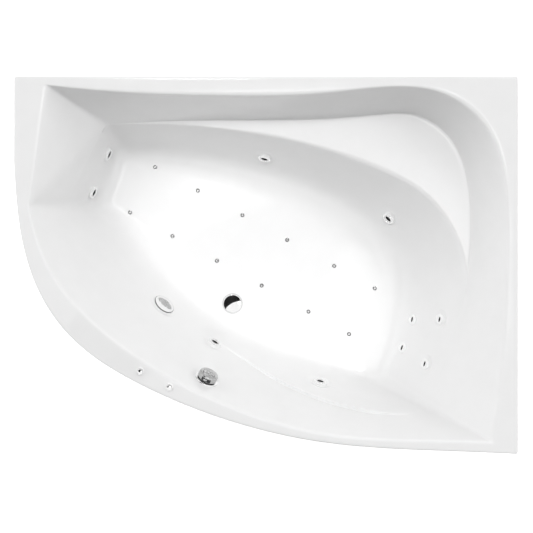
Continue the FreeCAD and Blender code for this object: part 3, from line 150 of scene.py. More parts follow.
# Directions towards the lamps, and places of the lamp over the floor and of the camera
KEY_SIDE = (0.0, 0.22, 0.975)
GLINT_SIDE = (-0.06, 0.3, 0.95)
GLINT_SPREAD = math.radians(6)
WELL_SPOT = (-0.02, -0.01, 4.4)
WELL_ANGLE, WELL_TURN = math.radians(17), math.radians(-31)
WELL_BLEND, WELL_SOFT, WELL_SQUASH = 0.55, 0.1, 0.58
CAMERA_SPOT = (0.00127, -0.00427)
GROUND_SIZE = 14
LEAST_SKY = 0.02
SOFTBOX_GLOW = 3.6
# Bowed cards: centre, inner radius, width, first and last angle in degrees
CARDS = {"dark_reflector": ((0.139, -0.721, 1.0), 0.643, 0.33, 78, 154),
         "ledge_softbox": ((0.2, -0.4, 8.0), 1.3, 0.66, -8, 128)}


Length = partial(FloatProperty, unit="LENGTH")
Colour = partial(FloatVectorProperty, subtype="COLOR", size=3, min=0, max=1)


class ShellSettings(bpy.types.PropertyGroup):
    """Sizes and colours of the moulded shell"""

    wall: Length(name="Wall", description="Thickness of the sheet with its backing", default=0.006)
    rim_round: Length(name="Rim Round", description="Rounding of the rim's edges", default=0.009)
    ledge_round: Length(
        name="Ledge Round", description="Rounding of the ledge's inner edge", default=0.007)
    floor_round: Length(
        name="Floor Round", description="Rounding along the edge of the floor", default=0.045)
    corner_line_round: Length(
        name="Corner Line Round", description="Rounding where the ledge meets the wall above",
        default=0.005)
    fold_round: Length(
        name="Fold Round", description="Rounding of the folded left end", default=0.009)
    armrest_round: Length(
        name="Armrest Round", description="Rounding of the armrest's edge", default=0.0045)
    armrest_step: Length(
        name="Armrest Step", description="Depth of the armrest in the front wall", default=0.016)
    corner_round: Length(
        name="Corner Round", description="Rounding of the rim's corners in plan", default=0.009)
    floor_corner_round: Length(
        name="Floor Corner Round", description="Rounding of the floor's corners in plan",
        default=0.045)
    column_gap: Length(
        name="Column Gap", description="Widest gap between the mesh's columns", default=0.02)
    acrylic: Colour(
        name="Acrylic", description="Colour of the glossy inside", default=(0.866, 0.866, 0.866))
    backing: Colour(
        name="Backing", description="Colour of the glass-fibre backing", default=(0.62, 0.58, 0.45))


class FittingSettings(bpy.types.PropertyGroup):
    """Sizes and colours of the jets, the drain and the buttons"""

    spin_steps: IntProperty(
        name="Spin Steps", description="Steps round a turned piece", default=56, min=12)
    edge_round: Length(
        name="Edge Round", description="Rounding of a fitting's edges", default=0.0006)
    seat_fade: Length(
        name="Seat Fade", description="Width over which the wall flattens to a seat", default=0.016)
    chrome: Colour(
        name="Chrome", description="Colour of the plated pieces", default=(0.95, 0.95, 0.95))
    moulding: Colour(
        name="White Moulding", description="Colour of the jets, the nozzles and the bezels",
        default=(0.93, 0.93, 0.93))
    grey: Colour(
        name="Grey Moulding", description="Colour of the suction grille's field of holes",
        default=(0.66, 0.66, 0.66))


class StageSettings(bpy.types.PropertyGroup):
    """Camera and light of the stage"""

    camera_height: Length(
        name="Camera Height", description="Height of the camera over the ground", default=4.6)
    lens: FloatProperty(name="Lens", description="Focal length in millimetres", default=85.3)
    key_strength: FloatProperty(
        name="Key Strength", description="Strength of the high soft lamp", default=1.1)
    key_spread: FloatProperty(
        name="Key Spread", description="Width of the high soft lamp",
        default=math.radians(18), subtype="ANGLE")
    glint_strength: FloatProperty(
        name="Glint Strength", description="Strength of the small lamp", default=0.15)
    sky: FloatProperty(name="Sky", description="Strength of the sky overhead", default=0.15)
    sky_slope: FloatProperty(
        name="Sky Slope", description="Gain of the sky towards the wall side", default=0.5)
    sky_flanks: FloatProperty(
        name="Sky Flanks", description="Gain of the sky towards both ends", default=1.62)
    well_power: FloatProperty(
        name="Well Power", description="Power of the lamp over the floor",
        default=185.0, unit="POWER")
    ground_glow: FloatProperty(
        name="Ground Glow", description="Light that the ground adds towards the camera",
        default=0.8)


def set_mode(mode):
    bpy.ops.object.mode_set(mode=mode)


def clear_selection():
    """Leaves edit mode and deselects every object."""
    if bpy.context.object and bpy.context.object.mode != "OBJECT":
        set_mode("OBJECT")
    bpy.ops.object.select_all(action="DESELECT")


def pick(obj):
    """Makes an object the only selected and active one."""
    clear_selection()
    bpy.context.view_layer.objects.active = obj
    obj.select_set(True)


def apply_modifier(obj, kind, **settings):
    pick(obj)
    modifier = obj.modifiers.new(kind.title(), kind)
    for name, value in settings.items():
        setattr(modifier, name, value)
    bpy.ops.object.modifier_apply(modifier=modifier.name)


def soften(obj, angle=SMOOTH):
    pick(obj)
    bpy.ops.object.shade_smooth_by_angle(angle=math.radians(angle))


def settle(piece, body, slot, *nodes):
    """Puts a finished piece on its body, in place of CAD nodes."""
    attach(piece, body)
    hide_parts(*nodes)


def wall_matrix(origin, inward):
    """Frame of a wall fitting: Z into the basin and X level along the wall."""
    inward = Vector(inward).normalized()
    level = Vector((0, 0, 1)).cross(inward)
    if level.length < 1e-6:
        level = Vector((1, 0, 0))
    level.normalize()
    turned = Matrix((level, inward.cross(level), inward)).transposed().to_4x4()
    return Matrix.Translation(Vector(origin)) @ turned


def joint_matrix(name):
    return wall_matrix(joints[name]["pos_m"], joints[name]["axis"])


def node_solids(node, reach):
    """Vertices of a CAD node, one array for each solid, whose points lie within reach."""
    points = np.array([v.co for v in frame["nodes"][node].data.vertices])
    solids = []
    while len(points):
        near = np.linalg.norm(points - points[0], axis=1) < reach
        solids.append(points[near])
        points = points[~near]
    return solids


def solid_matrix(points, rise):
    """Frame of a round solid whose top, along its own axis, is a rise above the wall."""
    centre = (points.max(0) + points.min(0)) / 2
    spread, ways = np.linalg.eigh(np.cov(np.unique(points.round(6), axis=0).T))
    odd = np.argmax(np.abs(spread - np.median(spread)))
    axis = ways[:, odd] * (1 if ways[2, odd] > 0 else -1)
    heights = (points - centre) @ axis
    side = points - np.outer(heights, axis)
    middle = (side.max(0) + side.min(0)) / 2
    middle = middle - axis * (middle @ axis) + axis * (centre @ axis)
    return wall_matrix(middle + axis * (heights.max() - rise), axis)


def level_matrix(low, high, level):
    """Frame of an upright fitting in the middle of a box."""
    return Matrix.Translation(((low[0] + high[0]) / 2, (low[1] + high[1]) / 2, level))


def fitting_places():
    """Frames of all fittings by kind, with Z into the basin or up."""
    solids = {kind: [solid_matrix(points, rise) for points in node_solids(node, reach)]
              for kind, (node, reach, rise) in WALL_SOLIDS.items()}
    return {
        "side_jet": [joint_matrix(f"jet_ring_{number}_turn") for number in JETS],
        "overflow": [joint_matrix("overflow_knob_turn")],
        "air_jet": [level_matrix(points.min(0), points.max(0), FLOOR_LEVEL)
                    for points in node_solids("air_jet_caps", AIR_CAP_REACH)],
        "drain": [level_matrix(*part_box("drain_plug"), FLOOR_LEVEL)],
        "button": [level_matrix(*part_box(name), RIM_LEVEL) for name in BUTTONS],
        **solids,
    }


places = fitting_places()


def end_slope(stations, points):
    """Slope at the first point of the polynomial through the first four points."""
    count = min(4, len(points))
    weights = np.zeros(count)
    for one in range(1, count):
        weights[one] = 1 / (stations[one] - stations[0])
        for other in range(1, count):
            if other != one:
                weights[one] *= (stations[0] - stations[other]) / (stations[one] - stations[other])
    weights[0] = -weights[1:].sum()
    return weights @ points[:count]


def smooth_curve(shares, at):
    """Points, in metres, of the smooth curve through plan points at shares of its length."""
    points = np.array(shares) * HALF_PLAN
    gaps = np.linalg.norm(np.diff(points, axis=0), axis=1)
    stations = np.concatenate([[0], np.cumsum(gaps)])
    count = len(points)
    system = np.zeros((count, count))
    right = np.zeros((count, 2))
    system[0, 0] = system[-1, -1] = 1
    right[0] = end_slope(stations, points)
    right[-1] = -end_slope((stations[-1] - stations)[::-1], points[::-1])
    for i in range(1, count - 1):
        before, after = gaps[i - 1], gaps[i]
        system[i, i - 1:i + 2] = after, 2 * (before + after), before
        right[i] = 3 * (after * (points[i] - points[i - 1]) / before
                        + before * (points[i + 1] - points[i]) / after)
    slopes = np.linalg.solve(system, right)
    reach = np.asarray(at) * stations[-1]
    i = np.clip(np.searchsorted(stations, reach, side="right") - 1, 0, count - 2)
    gap = gaps[i][:, None]
    t = ((reach - stations[i]) / gaps[i])[:, None]
    return ((1 + 2 * t) * (1 - t) ** 2 * points[i] + t * (1 - t) ** 2 * gap * slopes[i]
            + t * t * (3 - 2 * t) * points[i + 1] + t * t * (t - 1) * gap * slopes[i + 1])


def graded(length, widest):
    """Shares from 0 to under 1 of a length, close together at both of its ends."""
    half = [0.0]
    while half[-1] < length / 2:
        half.append(half[-1] + min(widest, COLUMN_START + COLUMN_GROWTH * half[-1]))
    half = np.array(half) * (length / 2 / half[-1])
    return np.concatenate([half, length - half[-2:0:-1]]) / length


def eased(count):
    """Shares from 0 to 1, close together at both ends."""
    return (1 - np.cos(np.linspace(0, math.pi, count + 1))) / 2


def wall_share(height):
    """Share of the way from the floor's edge to the ledge's, with a round blend into the floor."""
    above = height + BLEND_LIFT
    whole = LEDGE_LEVEL - FLOOR_LEVEL + BLEND_LIFT
    return (above - FLOOR_BLEND ** 2 / above + FLOOR_BLEND ** 2 / whole) / whole


def moving_mean(points, reach):
    """Rounds a line: each point becomes the mean of the line within reach of it."""
    gaps = np.linalg.norm(np.diff(points, axis=0), axis=1)
    along = np.concatenate([[0], np.cumsum(gaps)])
    steps = (points[1:] + points[:-1]) / 2 * gaps[:, None]
    sums = np.concatenate([np.zeros((1, 3)), np.cumsum(steps, axis=0)])
    reach = np.minimum(reach, np.minimum(along, along[-1] - along))

    def total(at):
        i = np.clip(np.searchsorted(along, at, side="right") - 1, 0, len(gaps) - 1)
        past = (at - along[i])[:, None]
        slope = (points[i + 1] - points[i]) / np.maximum(gaps[i], 1e-12)[:, None]
        return sums[i] + points[i] * past + slope * past ** 2 / 2

    rounded = points.copy()
    wide = reach > 1e-7
    spread = total((along + reach)[wide]) - total((along - reach)[wide])
    rounded[wide] = spread / (2 * reach[wide])[:, None]
    return rounded


def with_height(plan, level):
    return np.concatenate([plan, np.broadcast_to(level, plan.shape[:1])[:, None]], axis=1)


def shell_columns(gap):
    """Plan points of the shell's columns on its outline, rim, ledge and floor, clockwise."""
    test = np.linspace(0, 1, 801)
    bend = smooth_curve(RIM_BACK, test)
    corner = test[np.argmin(np.abs((HALF_PLAN[0] - bend[:, 0]) - (HALF_PLAN[1] - bend[:, 1])))]
    back = np.concatenate([graded(BACK_RUN, gap) * corner,
                           corner + graded(BEND_RUN, gap) * (1 - corner)])
    right = graded(RIGHT_RUN, gap)
    front = graded(FRONT_RUN, gap)
    left = eased(SHELL_ROWS["upper"])[:-1]

    rim_front = smooth_curve(RIM_FRONT, front)
    floor_front = smooth_curve(FLOOR_FRONT, front)
    fall = (RIM_LEVEL - LEDGE_LEVEL) / (RIM_LEVEL - FLOOR_LEVEL)
    ledge_corner = [a + (b - a) * fall for a, b in zip(RIM_FRONT[0], FLOOR_FRONT[0])]
    ledge_end = [a + (b - a) * fall for a, b in zip(RIM_FRONT[-1], FLOOR_FRONT[-1])]

    def straight(first, last, at):
        first, last = np.array(first) * HALF_PLAN, np.array(last) * HALF_PLAN
        return first + (last - first) * np.asarray(at)[:, None]

    rim = [smooth_curve(RIM_BACK, back), smooth_curve(RIM_RIGHT, right), rim_front,
           straight(RIM_FRONT[-1], RIM_BACK[0], left)]
    outer = [smooth_curve(LEDGE_OUTER, back), smooth_curve(LEDGE_RIGHT + [ledge_corner], right),
             rim_front + (floor_front - rim_front) * fall,
             straight(ledge_end, LEDGE_OUTER[0], left)]
    inner = [smooth_curve(LEDGE_INNER, back)] + outer[1:]
    floor = [smooth_curve(FLOOR_BACK, back), smooth_curve(FLOOR_RIGHT, right), floor_front,
             straight(FLOOR_FRONT[-1], FLOOR_BACK[0], left)]

    turn = np.searchsorted(back, corner)
    top, side = rim[0][:turn], rim[0][turn:]
    last = rim[1][0]
    along_top = (top[:, 0] - top[0, 0]) / (side[0, 0] - top[0, 0])
    down_side = (side[:, 1] - side[0, 1]) / (last[1] - side[0, 1])
    stop = (1.0, last[1] / HALF_PLAN[1])
    outline = [np.concatenate([straight((-1, 1), (1, 1), along_top),
                               straight((1, 1), stop, down_side)]),
               straight(stop, (1, -1), (last[1] - rim[1][:, 1]) / (last[1] - rim_front[0, 1])),
               smooth_curve(OUTLINE_FRONT, front), straight(OUTLINE_FRONT[-1], (-1, 1), left)]
    sides = np.concatenate([np.full(len(points), number) for number, points in enumerate(rim)])
    shares = np.concatenate([back, right, front, left])
    return [np.concatenate(ring) for ring in (outline, rim, outer, inner, floor)] + [sides, shares]


def shell_skin(settings):
    """Inside of the shell as rows of points, from the skirt's edge over the rim to the floor."""
    outline, rim, outer, inner, floor, sides, shares = shell_columns(settings.column_gap)
    front = sides == FRONT_SIDE
    left = sides == LEFT_SIDE
    step_level = np.where(front, np.interp(shares, *zip(*ARMREST_LINE)), LEDGE_LEVEL)
    step = np.where(front, np.interp(shares, *zip(*ARMREST_STEP)), 0.0) * settings.armrest_step
    outward = rim - floor
    outward /= np.linalg.norm(outward, axis=1)[:, None]
    rows, rounds = [], []

    def add(plan, level, reach):
        rows.append(with_height(plan, level))
        rounds.append(np.broadcast_to(reach, len(rim)))

    def corner(share, level):
        return np.array([*(np.array(share) * HALF_PLAN), level])

    def wall(level):
        """Plan points of the wall under the ledge, and of the whole front wall, at a level."""
        high = (RIM_LEVEL - level) / (RIM_LEVEL - LEDGE_LEVEL)
        upper = rim + (outer - rim) * high[:, None]
        share = wall_share(np.minimum(level, LEDGE_LEVEL) - FLOOR_LEVEL)
        lower = floor + (inner - floor) * share[:, None]
        return np.where((level > LEDGE_LEVEL)[:, None], upper, lower)

    back_corner = corner(RIM_BACK[0], RIM_LEVEL)
    fold_foot = corner(LEDGE_OUTER[0], LEDGE_LEVEL)
    front_corner = corner(RIM_FRONT[-1], RIM_LEVEL)
    front_foot = with_height(outer[left], LEDGE_LEVEL)[0]
    ledge_round = np.where(front, settings.armrest_round, settings.ledge_round)
    line_round = np.where(front, settings.armrest_round, settings.corner_line_round)
    middle_round = np.where(left, settings.fold_round, settings.rim_round)

    for share in eased(SHELL_ROWS["skirt"])[:-1]:
        add(outline, SKIRT_LEVEL + (RIM_LEVEL - SKIRT_LEVEL) * share, settings.rim_round)
    for share in eased(SHELL_ROWS["rim"])[:-1]:
        add(outline + (rim - outline) * share, RIM_LEVEL, settings.rim_round)
    for share in eased(SHELL_ROWS["upper"])[:-1]:
        level = RIM_LEVEL + (step_level - RIM_LEVEL) * share
        plain = rim + (outer - rim) * share
        plan = np.where(front[:, None], wall(level) + outward * (step * share)[:, None], plain)
        row = with_height(plan, level)
        lean = shares[left] - share
        row[left] = (front_corner + np.outer(np.maximum(lean, 0), back_corner - front_corner)
                     + np.outer(np.maximum(-lean, 0), front_foot - front_corner)
                     + np.outer(np.minimum(shares[left], share), fold_foot - front_corner))
        swell = math.sin(math.pi * share)
        add(row[:, :2], row[:, 2], settings.rim_round * (1 - share) + line_round * share
            + (middle_round - settings.rim_round) * swell)
    edge = np.where(front[:, None], wall(step_level) + outward * step[:, None], outer)
    low_edge = np.where(front[:, None], wall(step_level), inner)
    for share in eased(SHELL_ROWS["ledge"])[:-1]:
        add(edge + (low_edge - edge) * share, step_level,
            line_round * (1 - share) + ledge_round * share)
    fine = np.linspace(0, 1, 600)
    heights = (LEDGE_LEVEL - FLOOR_LEVEL) * fine
    slope = np.hypot(np.gradient(heights), WALL_LEAN * np.gradient(wall_share(heights)))
    length = np.cumsum(slope)
    even = np.linspace(length[-1], length[0], SHELL_ROWS["lower"] + 1)
    for number, share in enumerate(np.interp(even, length, fine)):
        level = FLOOR_LEVEL + (step_level - FLOOR_LEVEL) * share
        fade = number / SHELL_ROWS["lower"]
        add(wall(level), level, ledge_round * (1 - fade) + settings.floor_round * fade)
    foot = rows[-1][:, :2]
    centre = foot.mean(axis=0)
    for share in np.linspace(0, FLOOR_SHARE, SHELL_ROWS["floor"] + 1)[1:]:
        add(foot + (centre - foot) * share, FLOOR_LEVEL, settings.floor_round)

    skin = np.array(rows)
    rounds = np.array(rounds)
    for column in range(skin.shape[1]):
        skin[:, column] = moving_mean(skin[:, column], rounds[:, column])
    widening = settings.floor_corner_round - settings.corner_round
    for number, row in enumerate(skin):
        depth = (RIM_LEVEL - row[:, 2].mean()) / (RIM_LEVEL - FLOOR_LEVEL)
        reach = settings.corner_round + widening * depth ** 2
        ring = np.concatenate([row[-RING_OVERLAP:], row, row[:RING_OVERLAP]])
        ring = moving_mean(ring, np.full(len(ring), reach))
        skin[number] = ring[RING_OVERLAP:-RING_OVERLAP]
    return skin


def feed(tree, socket, value):
    """Links an input to another node's output, or sets it to a constant."""
    if isinstance(value, bpy.types.NodeSocket):
        tree.links.new(value, socket)
    else:
        socket.default_value = value


def feed_node(tree, node, **values):
    """Feeds a node's inputs by name, where an underscore stands for a space."""
    for name, value in values.items():
        feed(tree, node.inputs[name.replace("_", " ")], value)
    return node


def add_node(tree, kind, **values):
    return feed_node(tree, tree.nodes.new(kind), **values)


def math_node(tree, operation, *values):
    """Output of a new Math node fed with sockets and constants."""
    node = tree.nodes.new("ShaderNodeMath")
    node.operation = operation
    for socket, value in zip(node.inputs, values):
        feed(tree, socket, value)
    return node.outputs[0]


def add_relief(tree, height, strength):
    bump = add_node(tree, "ShaderNodeBump", Height=height, Strength=strength, Distance=MM)
    feed_node(tree, tree.nodes["Principled BSDF"], Normal=bump.outputs["Normal"])


def noise_finish(name, tints, roughness, grain, metallic=0.0, relief=0.0, ior=1.5,
                 stretch=(1, 1, 1)):
    """Material whose colour, gloss and relief follow a grain in the piece's own coordinates."""
    material = bpy.data.materials.new(name)
    material.use_nodes = True
    tree = material.node_tree
    place = add_node(tree, "ShaderNodeTexCoord")
    spread = add_node(tree, "ShaderNodeMapping", Vector=place.outputs["Object"], Scale=stretch)
    noise = add_node(tree, "ShaderNodeTexNoise", Vector=spread.outputs["Vector"], Scale=grain,
                     Detail=5)
    tint = add_node(tree, "ShaderNodeValToRGB", Fac=noise.outputs["Fac"])
    for stop, position, colour in zip(tint.color_ramp.elements, (0.35, 0.65), tints):
        stop.position = position
        stop.color = (*colour, 1)
    gloss = add_node(tree, "ShaderNodeMapRange", Value=noise.outputs["Fac"],
                     To_Min=roughness[0], To_Max=roughness[1])
    feed_node(tree, tree.nodes["Principled BSDF"], Base_Color=tint.outputs["Color"],
              Roughness=gloss.outputs["Result"], Metallic=metallic, IOR=ior)
    if relief:
        add_relief(tree, noise.outputs["Fac"], relief)
    return material


def strand_finish(name, tints, roughness, grain, relief):
    """Material of chopped strands or chips: broken cells over a fine grain."""
    material = noise_finish(name, tints, roughness, grain * 0.4)
    tree = material.node_tree
    nodes = tree.nodes
    cells = add_node(tree, "ShaderNodeTexVoronoi", Vector=nodes["Mapping"].outputs["Vector"],
                     Scale=grain, Randomness=1.0)
    mix = add_node(tree, "ShaderNodeMix", Factor=0.55, A=nodes["Noise Texture"].outputs["Fac"],
                   B=cells.outputs["Distance"])
    feed_node(tree, nodes["Color Ramp"], Fac=mix.outputs[0])
    add_relief(tree, mix.outputs[0], relief)
    return material


def shades(colour, share):
    """A darker tint of a colour, and the colour."""
    return tuple(part * share for part in colour), colour


def greys(dark, light):
    return (dark, dark, dark), (light, light, light)


finishes = {}


def make_finishes(shell, fitting):
    """Makes every material: name, two tints, range of roughness, size of the grain, extras."""
    white = shades(fitting.moulding, 0.97)
    finishes.update(
        acrylic=noise_finish(
            "white_acrylic_gloss", shades(shell.acrylic, 0.985), (0.07, 0.12), 14.0, ior=1.49),
        backing=strand_finish(
            "glass_fibre_backing", shades(shell.backing, 0.72), (0.45, 0.7), 130.0, 0.5),
        chrome=noise_finish(
            "chrome_plate", shades(fitting.chrome, 0.96), (0.03, 0.07), 60.0, metallic=1.0),
        satin=noise_finish("satin_chrome", greys(0.5, 0.6), (0.16, 0.24), 60.0, metallic=1.0),
        white=noise_finish("white_moulding", white, (0.16, 0.24), 90.0),
        pearl=noise_finish("pearl_ring", white, (0.1, 0.16), 90.0, metallic=0.9),
        grey=noise_finish(
            "grey_moulding", shades(fitting.grey, 0.9), (0.25, 0.36), 140.0, relief=0.04),
        # Painted shade: near black, for grooves and edge bands where shade falls.
        seal=noise_finish("grey_seal", greys(0.05, 0.08), (0.4, 0.5), 200.0),
        # Painted shade: near black, on mouths, pockets and a patch of the overflow knob, in place
        # of the shade of deep openings.
        bore=noise_finish(
            "painted_bore_shade", ((0.008, 0.008, 0.009), (0.016, 0.016, 0.017)), (0.4, 0.55), 200.0),
        pipe=noise_finish(
            "pipe_plastic_satin", ((0.6, 0.6, 0.58), (0.68, 0.68, 0.66)), (0.3, 0.42), 40.0,
            relief=0.03),
        dark=noise_finish(
            "dark_moulding", ((0.022, 0.022, 0.024), (0.04, 0.04, 0.043)), (0.42, 0.6), 400.0,
            relief=0.25),
        tube=noise_finish("milky_tube", ((0.5, 0.53, 0.54), (0.62, 0.64, 0.64)), (0.2, 0.3), 30.0),
        alloy=noise_finish(
            "cast_alloy", ((0.38, 0.39, 0.4), (0.56, 0.57, 0.58)), (0.38, 0.55), 320.0,
            metallic=0.9, relief=0.3),
        steel=noise_finish(
            "zinc_steel", ((0.45, 0.46, 0.47), (0.66, 0.67, 0.68)), (0.25, 0.42), 70.0,
            metallic=1.0, stretch=(1, 1, 6)),
        paint=noise_finish(
            "frame_powder_paint", ((0.27, 0.28, 0.29), (0.34, 0.35, 0.36)), (0.4, 0.52), 260.0,
            relief=0.2),
        rubber=noise_finish("black_rubber", greys(0.014, 0.03), (0.65, 0.85), 150.0, relief=0.2),
        board=strand_finish(
            "chip_board", ((0.24, 0.16, 0.085), (0.52, 0.4, 0.25)), (0.7, 0.9), 170.0, 0.35),
    )


NODE_FINISHES = {
    "white": ["side_jet_bodies", "back_jet_bodies", "suction_body"]
             + [f"jet_ring_{number}" for number in JETS],
    "pipe": ["water_manifold", "suction_pipe", "drain_body", "waste_trap", "overflow_body",
             "overflow_pipe", "fitting_nuts", "air_jet_bodies", "button_bodies"],
    "dark": ["pump_volute", "pump_fan_cover", "pump_terminal_box", "air_blower", "lift_cable",
             "cable_glands"],
    "tube": ["air_rails", "button_tubes"],
    "alloy": ["pump_motor"],
    "steel": ["pump_rotor", "foot_nuts", "board_screws"]
             + [f"levelling_foot_{number}" for number in range(1, 7)],
    "paint": ["frame_bars", "frame_posts", "unit_trays"],
    "rubber": ["rim_pads", "pump_feet"],
    "board": ["base_board"],
    "acrylic": ["tub_shell"],
    "chrome": ["drain_flange", "drain_plug", "overflow_flange", "overflow_knob", "water_button",
               "air_button", "button_bezels", "air_jet_caps"],
    "grey": ["suction_grille", "back_jet_faces"] + [f"jet_nozzle_{number}" for number in JETS],
}


def coat(obj, *names):
    obj.data.materials.clear()
    for name in names:
        obj.data.materials.append(finishes[name])


def turned(name, profile, settings, finer=1, sharper=0):
    """A piece spun about Z from (radius, height) points in millimetres.

    finer multiplies the settings' steps; sharper divides their edge rounding, and 0 leaves it out.
    """
    clear_selection()
    bpy.ops.mesh.primitive_plane_add(size=0.01)
    obj = bpy.context.object
    obj.name = obj.data.name = name
    set_mode("EDIT")
    bpy.ops.mesh.select_all(action="SELECT")
    bpy.ops.mesh.merge(type="CENTER")
    bpy.ops.transform.translate(value=(profile[0][0] * MM, 0, profile[0][1] * MM))
    for before, after in zip(profile, profile[1:]):
        step = ((after[0] - before[0]) * MM, 0, (after[1] - before[1]) * MM)
        bpy.ops.mesh.extrude_vertices_move(TRANSFORM_OT_translate={"value": step})
    bpy.ops.mesh.select_all(action="SELECT")
    bpy.ops.mesh.spin(steps=round(settings.spin_steps * finer), angle=math.tau,
                      center=(0, 0, 0), axis=(0, 0, 1))
    bpy.ops.mesh.select_all(action="SELECT")
    bpy.ops.mesh.remove_doubles(threshold=1e-6)
    bpy.ops.mesh.normals_make_consistent(inside=False)
    set_mode("OBJECT")
    if sharper:
        apply_modifier(obj, "BEVEL", width=settings.edge_round / sharper, segments=2,
                       limit_method="ANGLE", angle_limit=math.radians(35))
    return obj


def paint_faces(obj, index, test=lambda centre, normal: True):
    """Gives the faces whose centre, in millimetres, and normal pass a test another material."""
    for face in obj.data.polygons:
        if test(face.center / MM, face.normal):
            face.material_index = index


def placed(pattern, name, matrix):
    """A copy of a modelled piece with its own mesh, moved to its place."""
    obj = pattern.copy()
    obj.data = pattern.data.copy()
    obj.name = obj.data.name = name
    obj.data.transform(matrix)
    bpy.context.scene.collection.objects.link(obj)
    return obj


def joined(objects, name):
    """Joins objects into the first of them."""
    clear_selection()
    for obj in objects:
        obj.select_set(True)
    bpy.context.view_layer.objects.active = objects[0]
    bpy.ops.object.join()
    objects[0].name = objects[0].data.name = name
    return objects[0]


def placed_group(pattern, name, matrices):
    """Copies of a modelled piece at several places, joined into one piece."""
    return joined([placed(pattern, f"{name}_{number}", matrix)
                   for number, matrix in enumerate(matrices)], name)


def joined_drills(name, drills):
    """Round tools (frame, radius, from, to) joined into one cutter."""
    tools = []
    for matrix, radius, low, high in drills:
        clear_selection()
        bpy.ops.mesh.primitive_cylinder_add(vertices=40, radius=radius, depth=high - low)
        tools.append(bpy.context.object)
        tools[-1].data.transform(matrix @ Matrix.Translation((0, 0, (high + low) / 2)))
    return joined(tools, name)


def discard(obj):
    bpy.data.objects.remove(obj)


def cut_away(obj, tool):
    apply_modifier(obj, "BOOLEAN", operation="DIFFERENCE", solver="EXACT", object=tool)
    discard(tool)


def set_in(obj, matrix, body, slot, node, angle=SMOOTH):
    """Smooths a finished piece, moves it to its place and settles it."""
    soften(obj, angle)
    obj.data.transform(matrix)
    settle(obj, body, slot, node)


def seat_fittings(obj, fade):
    """Makes the wall finer round each fitting and flattens it to a seat."""
    seats = [(matrix, seat) for kind, seat in SEATS.items() for matrix in places[kind]]
    for matrix, seat in seats:
        back = matrix.inverted()
        mesh = bmesh.from_edit_mesh(obj.data)
        for face in mesh.faces:
            centre = back @ face.calc_center_median()
            near = math.hypot(centre.x, centre.y) < seat + fade * SEAT_FADES
            face.select_set(near and abs(centre.z) < SEAT_SEARCH)
        bpy.ops.mesh.subdivide(number_cuts=2)
        mesh = bmesh.from_edit_mesh(obj.data)
        for vertex in mesh.verts:
            point = back @ vertex.co
            reach = (math.hypot(point.x, point.y) - seat - SEAT_MARGIN) / fade
            if reach < 1 and abs(point.z) < SEAT_DEPTH:
                reach = max(reach, 0)
                point.z *= reach * reach * (3 - 2 * reach)
                vertex.co = matrix @ point
        bmesh.update_edit_mesh(obj.data)
        bpy.ops.mesh.select_all(action="DESELECT")


def drill_holes(obj):
    """Cuts the fittings' holes through the skin and drops the tools' own faces."""
    drills = [(matrix, bore, -DRILL_REACH, DRILL_REACH)
              for kind, bore in BORES.items() for matrix in places[kind]]
    tool = joined_drills("shell_drills", drills)
    for part in (obj, tool):
        coat(part, "acrylic", "backing", "bore")
    paint_faces(tool, 2)
    cut_away(obj, tool)
    pick(obj)
    obj.active_material_index = 2
    set_mode("EDIT")
    bpy.ops.mesh.select_all(action="DESELECT")
    bpy.ops.object.material_slot_select()
    bpy.ops.mesh.delete(type="FACE")
    set_mode("OBJECT")
    bpy.ops.object.material_slot_remove()


class BATHTUB_OT_shell(bpy.types.Operator):
    """Moulds the acrylic shell with its rim, ledge, folded end, armrest, seats and holes"""

    bl_idname = "bathtub.shell"
    bl_label = "Tub Shell"

    def execute(self, context):
        settings = context.scene.bathtub_shell
        fitting = context.scene.bathtub_fitting
        skin = shell_skin(settings)
        skin = np.concatenate([skin, skin[:, :1]], axis=1)
        rows, columns = skin.shape[:2]
        clear_selection()
        bpy.ops.mesh.primitive_grid_add(x_subdivisions=columns - 1, y_subdivisions=rows - 1, size=2)
        obj = context.object
        obj.name = obj.data.name = "moulded_shell"
        flat = np.array([v.co for v in obj.data.vertices])
        column = np.rint((flat[:, 0] + 1) / 2 * (columns - 1)).astype(int)
        row = np.rint((1 - flat[:, 1]) / 2 * (rows - 1)).astype(int)
        obj.data.vertices.foreach_set("co", skin[row, column].ravel())
        set_mode("EDIT")
        bpy.ops.mesh.select_all(action="SELECT")
        bpy.ops.mesh.remove_doubles(threshold=2e-5)
        mesh = bmesh.from_edit_mesh(obj.data)
        for edge in mesh.edges:
            low = max(vertex.co.z for vertex in edge.verts) < FLOOR_LEVEL + 1e-4
            edge.select_set(edge.is_boundary and low)
        bpy.ops.mesh.edge_face_add()
        mesh = bmesh.from_edit_mesh(obj.data)
        for face in mesh.faces:
            face.select_set(len(face.verts) > 4 and face.normal.z < 0)
        bpy.ops.mesh.flip_normals()
        seat_fittings(obj, fitting.seat_fade)
        set_mode("OBJECT")
        drill_holes(obj)
        apply_modifier(obj, "SOLIDIFY", thickness=settings.wall, offset=-1, use_even_offset=True,
                       use_rim=True, material_offset=1, material_offset_rim=0)
        soften(obj, SHELL_SMOOTH)
        settle(obj, "tub", "white_acrylic", "tub_shell")
        return {"FINISHED"}


def oval_mouth(obj, half_length, half_width, low, high):
    """Cuts an oval pocket, level along the wall, into a fitting; its walls carry painted shade,
    near black, for an open mouth. Sizes in millimetres.
    """
    tool = joined_drills("oval_drill", [(Matrix(), 0.001, low * MM, high * MM)])
    tool.data.transform(Matrix.Diagonal((half_length, half_width, 1, 1)))
    coat(tool, "white", "bore")
    paint_faces(tool, 1)
    cut_away(obj, tool)


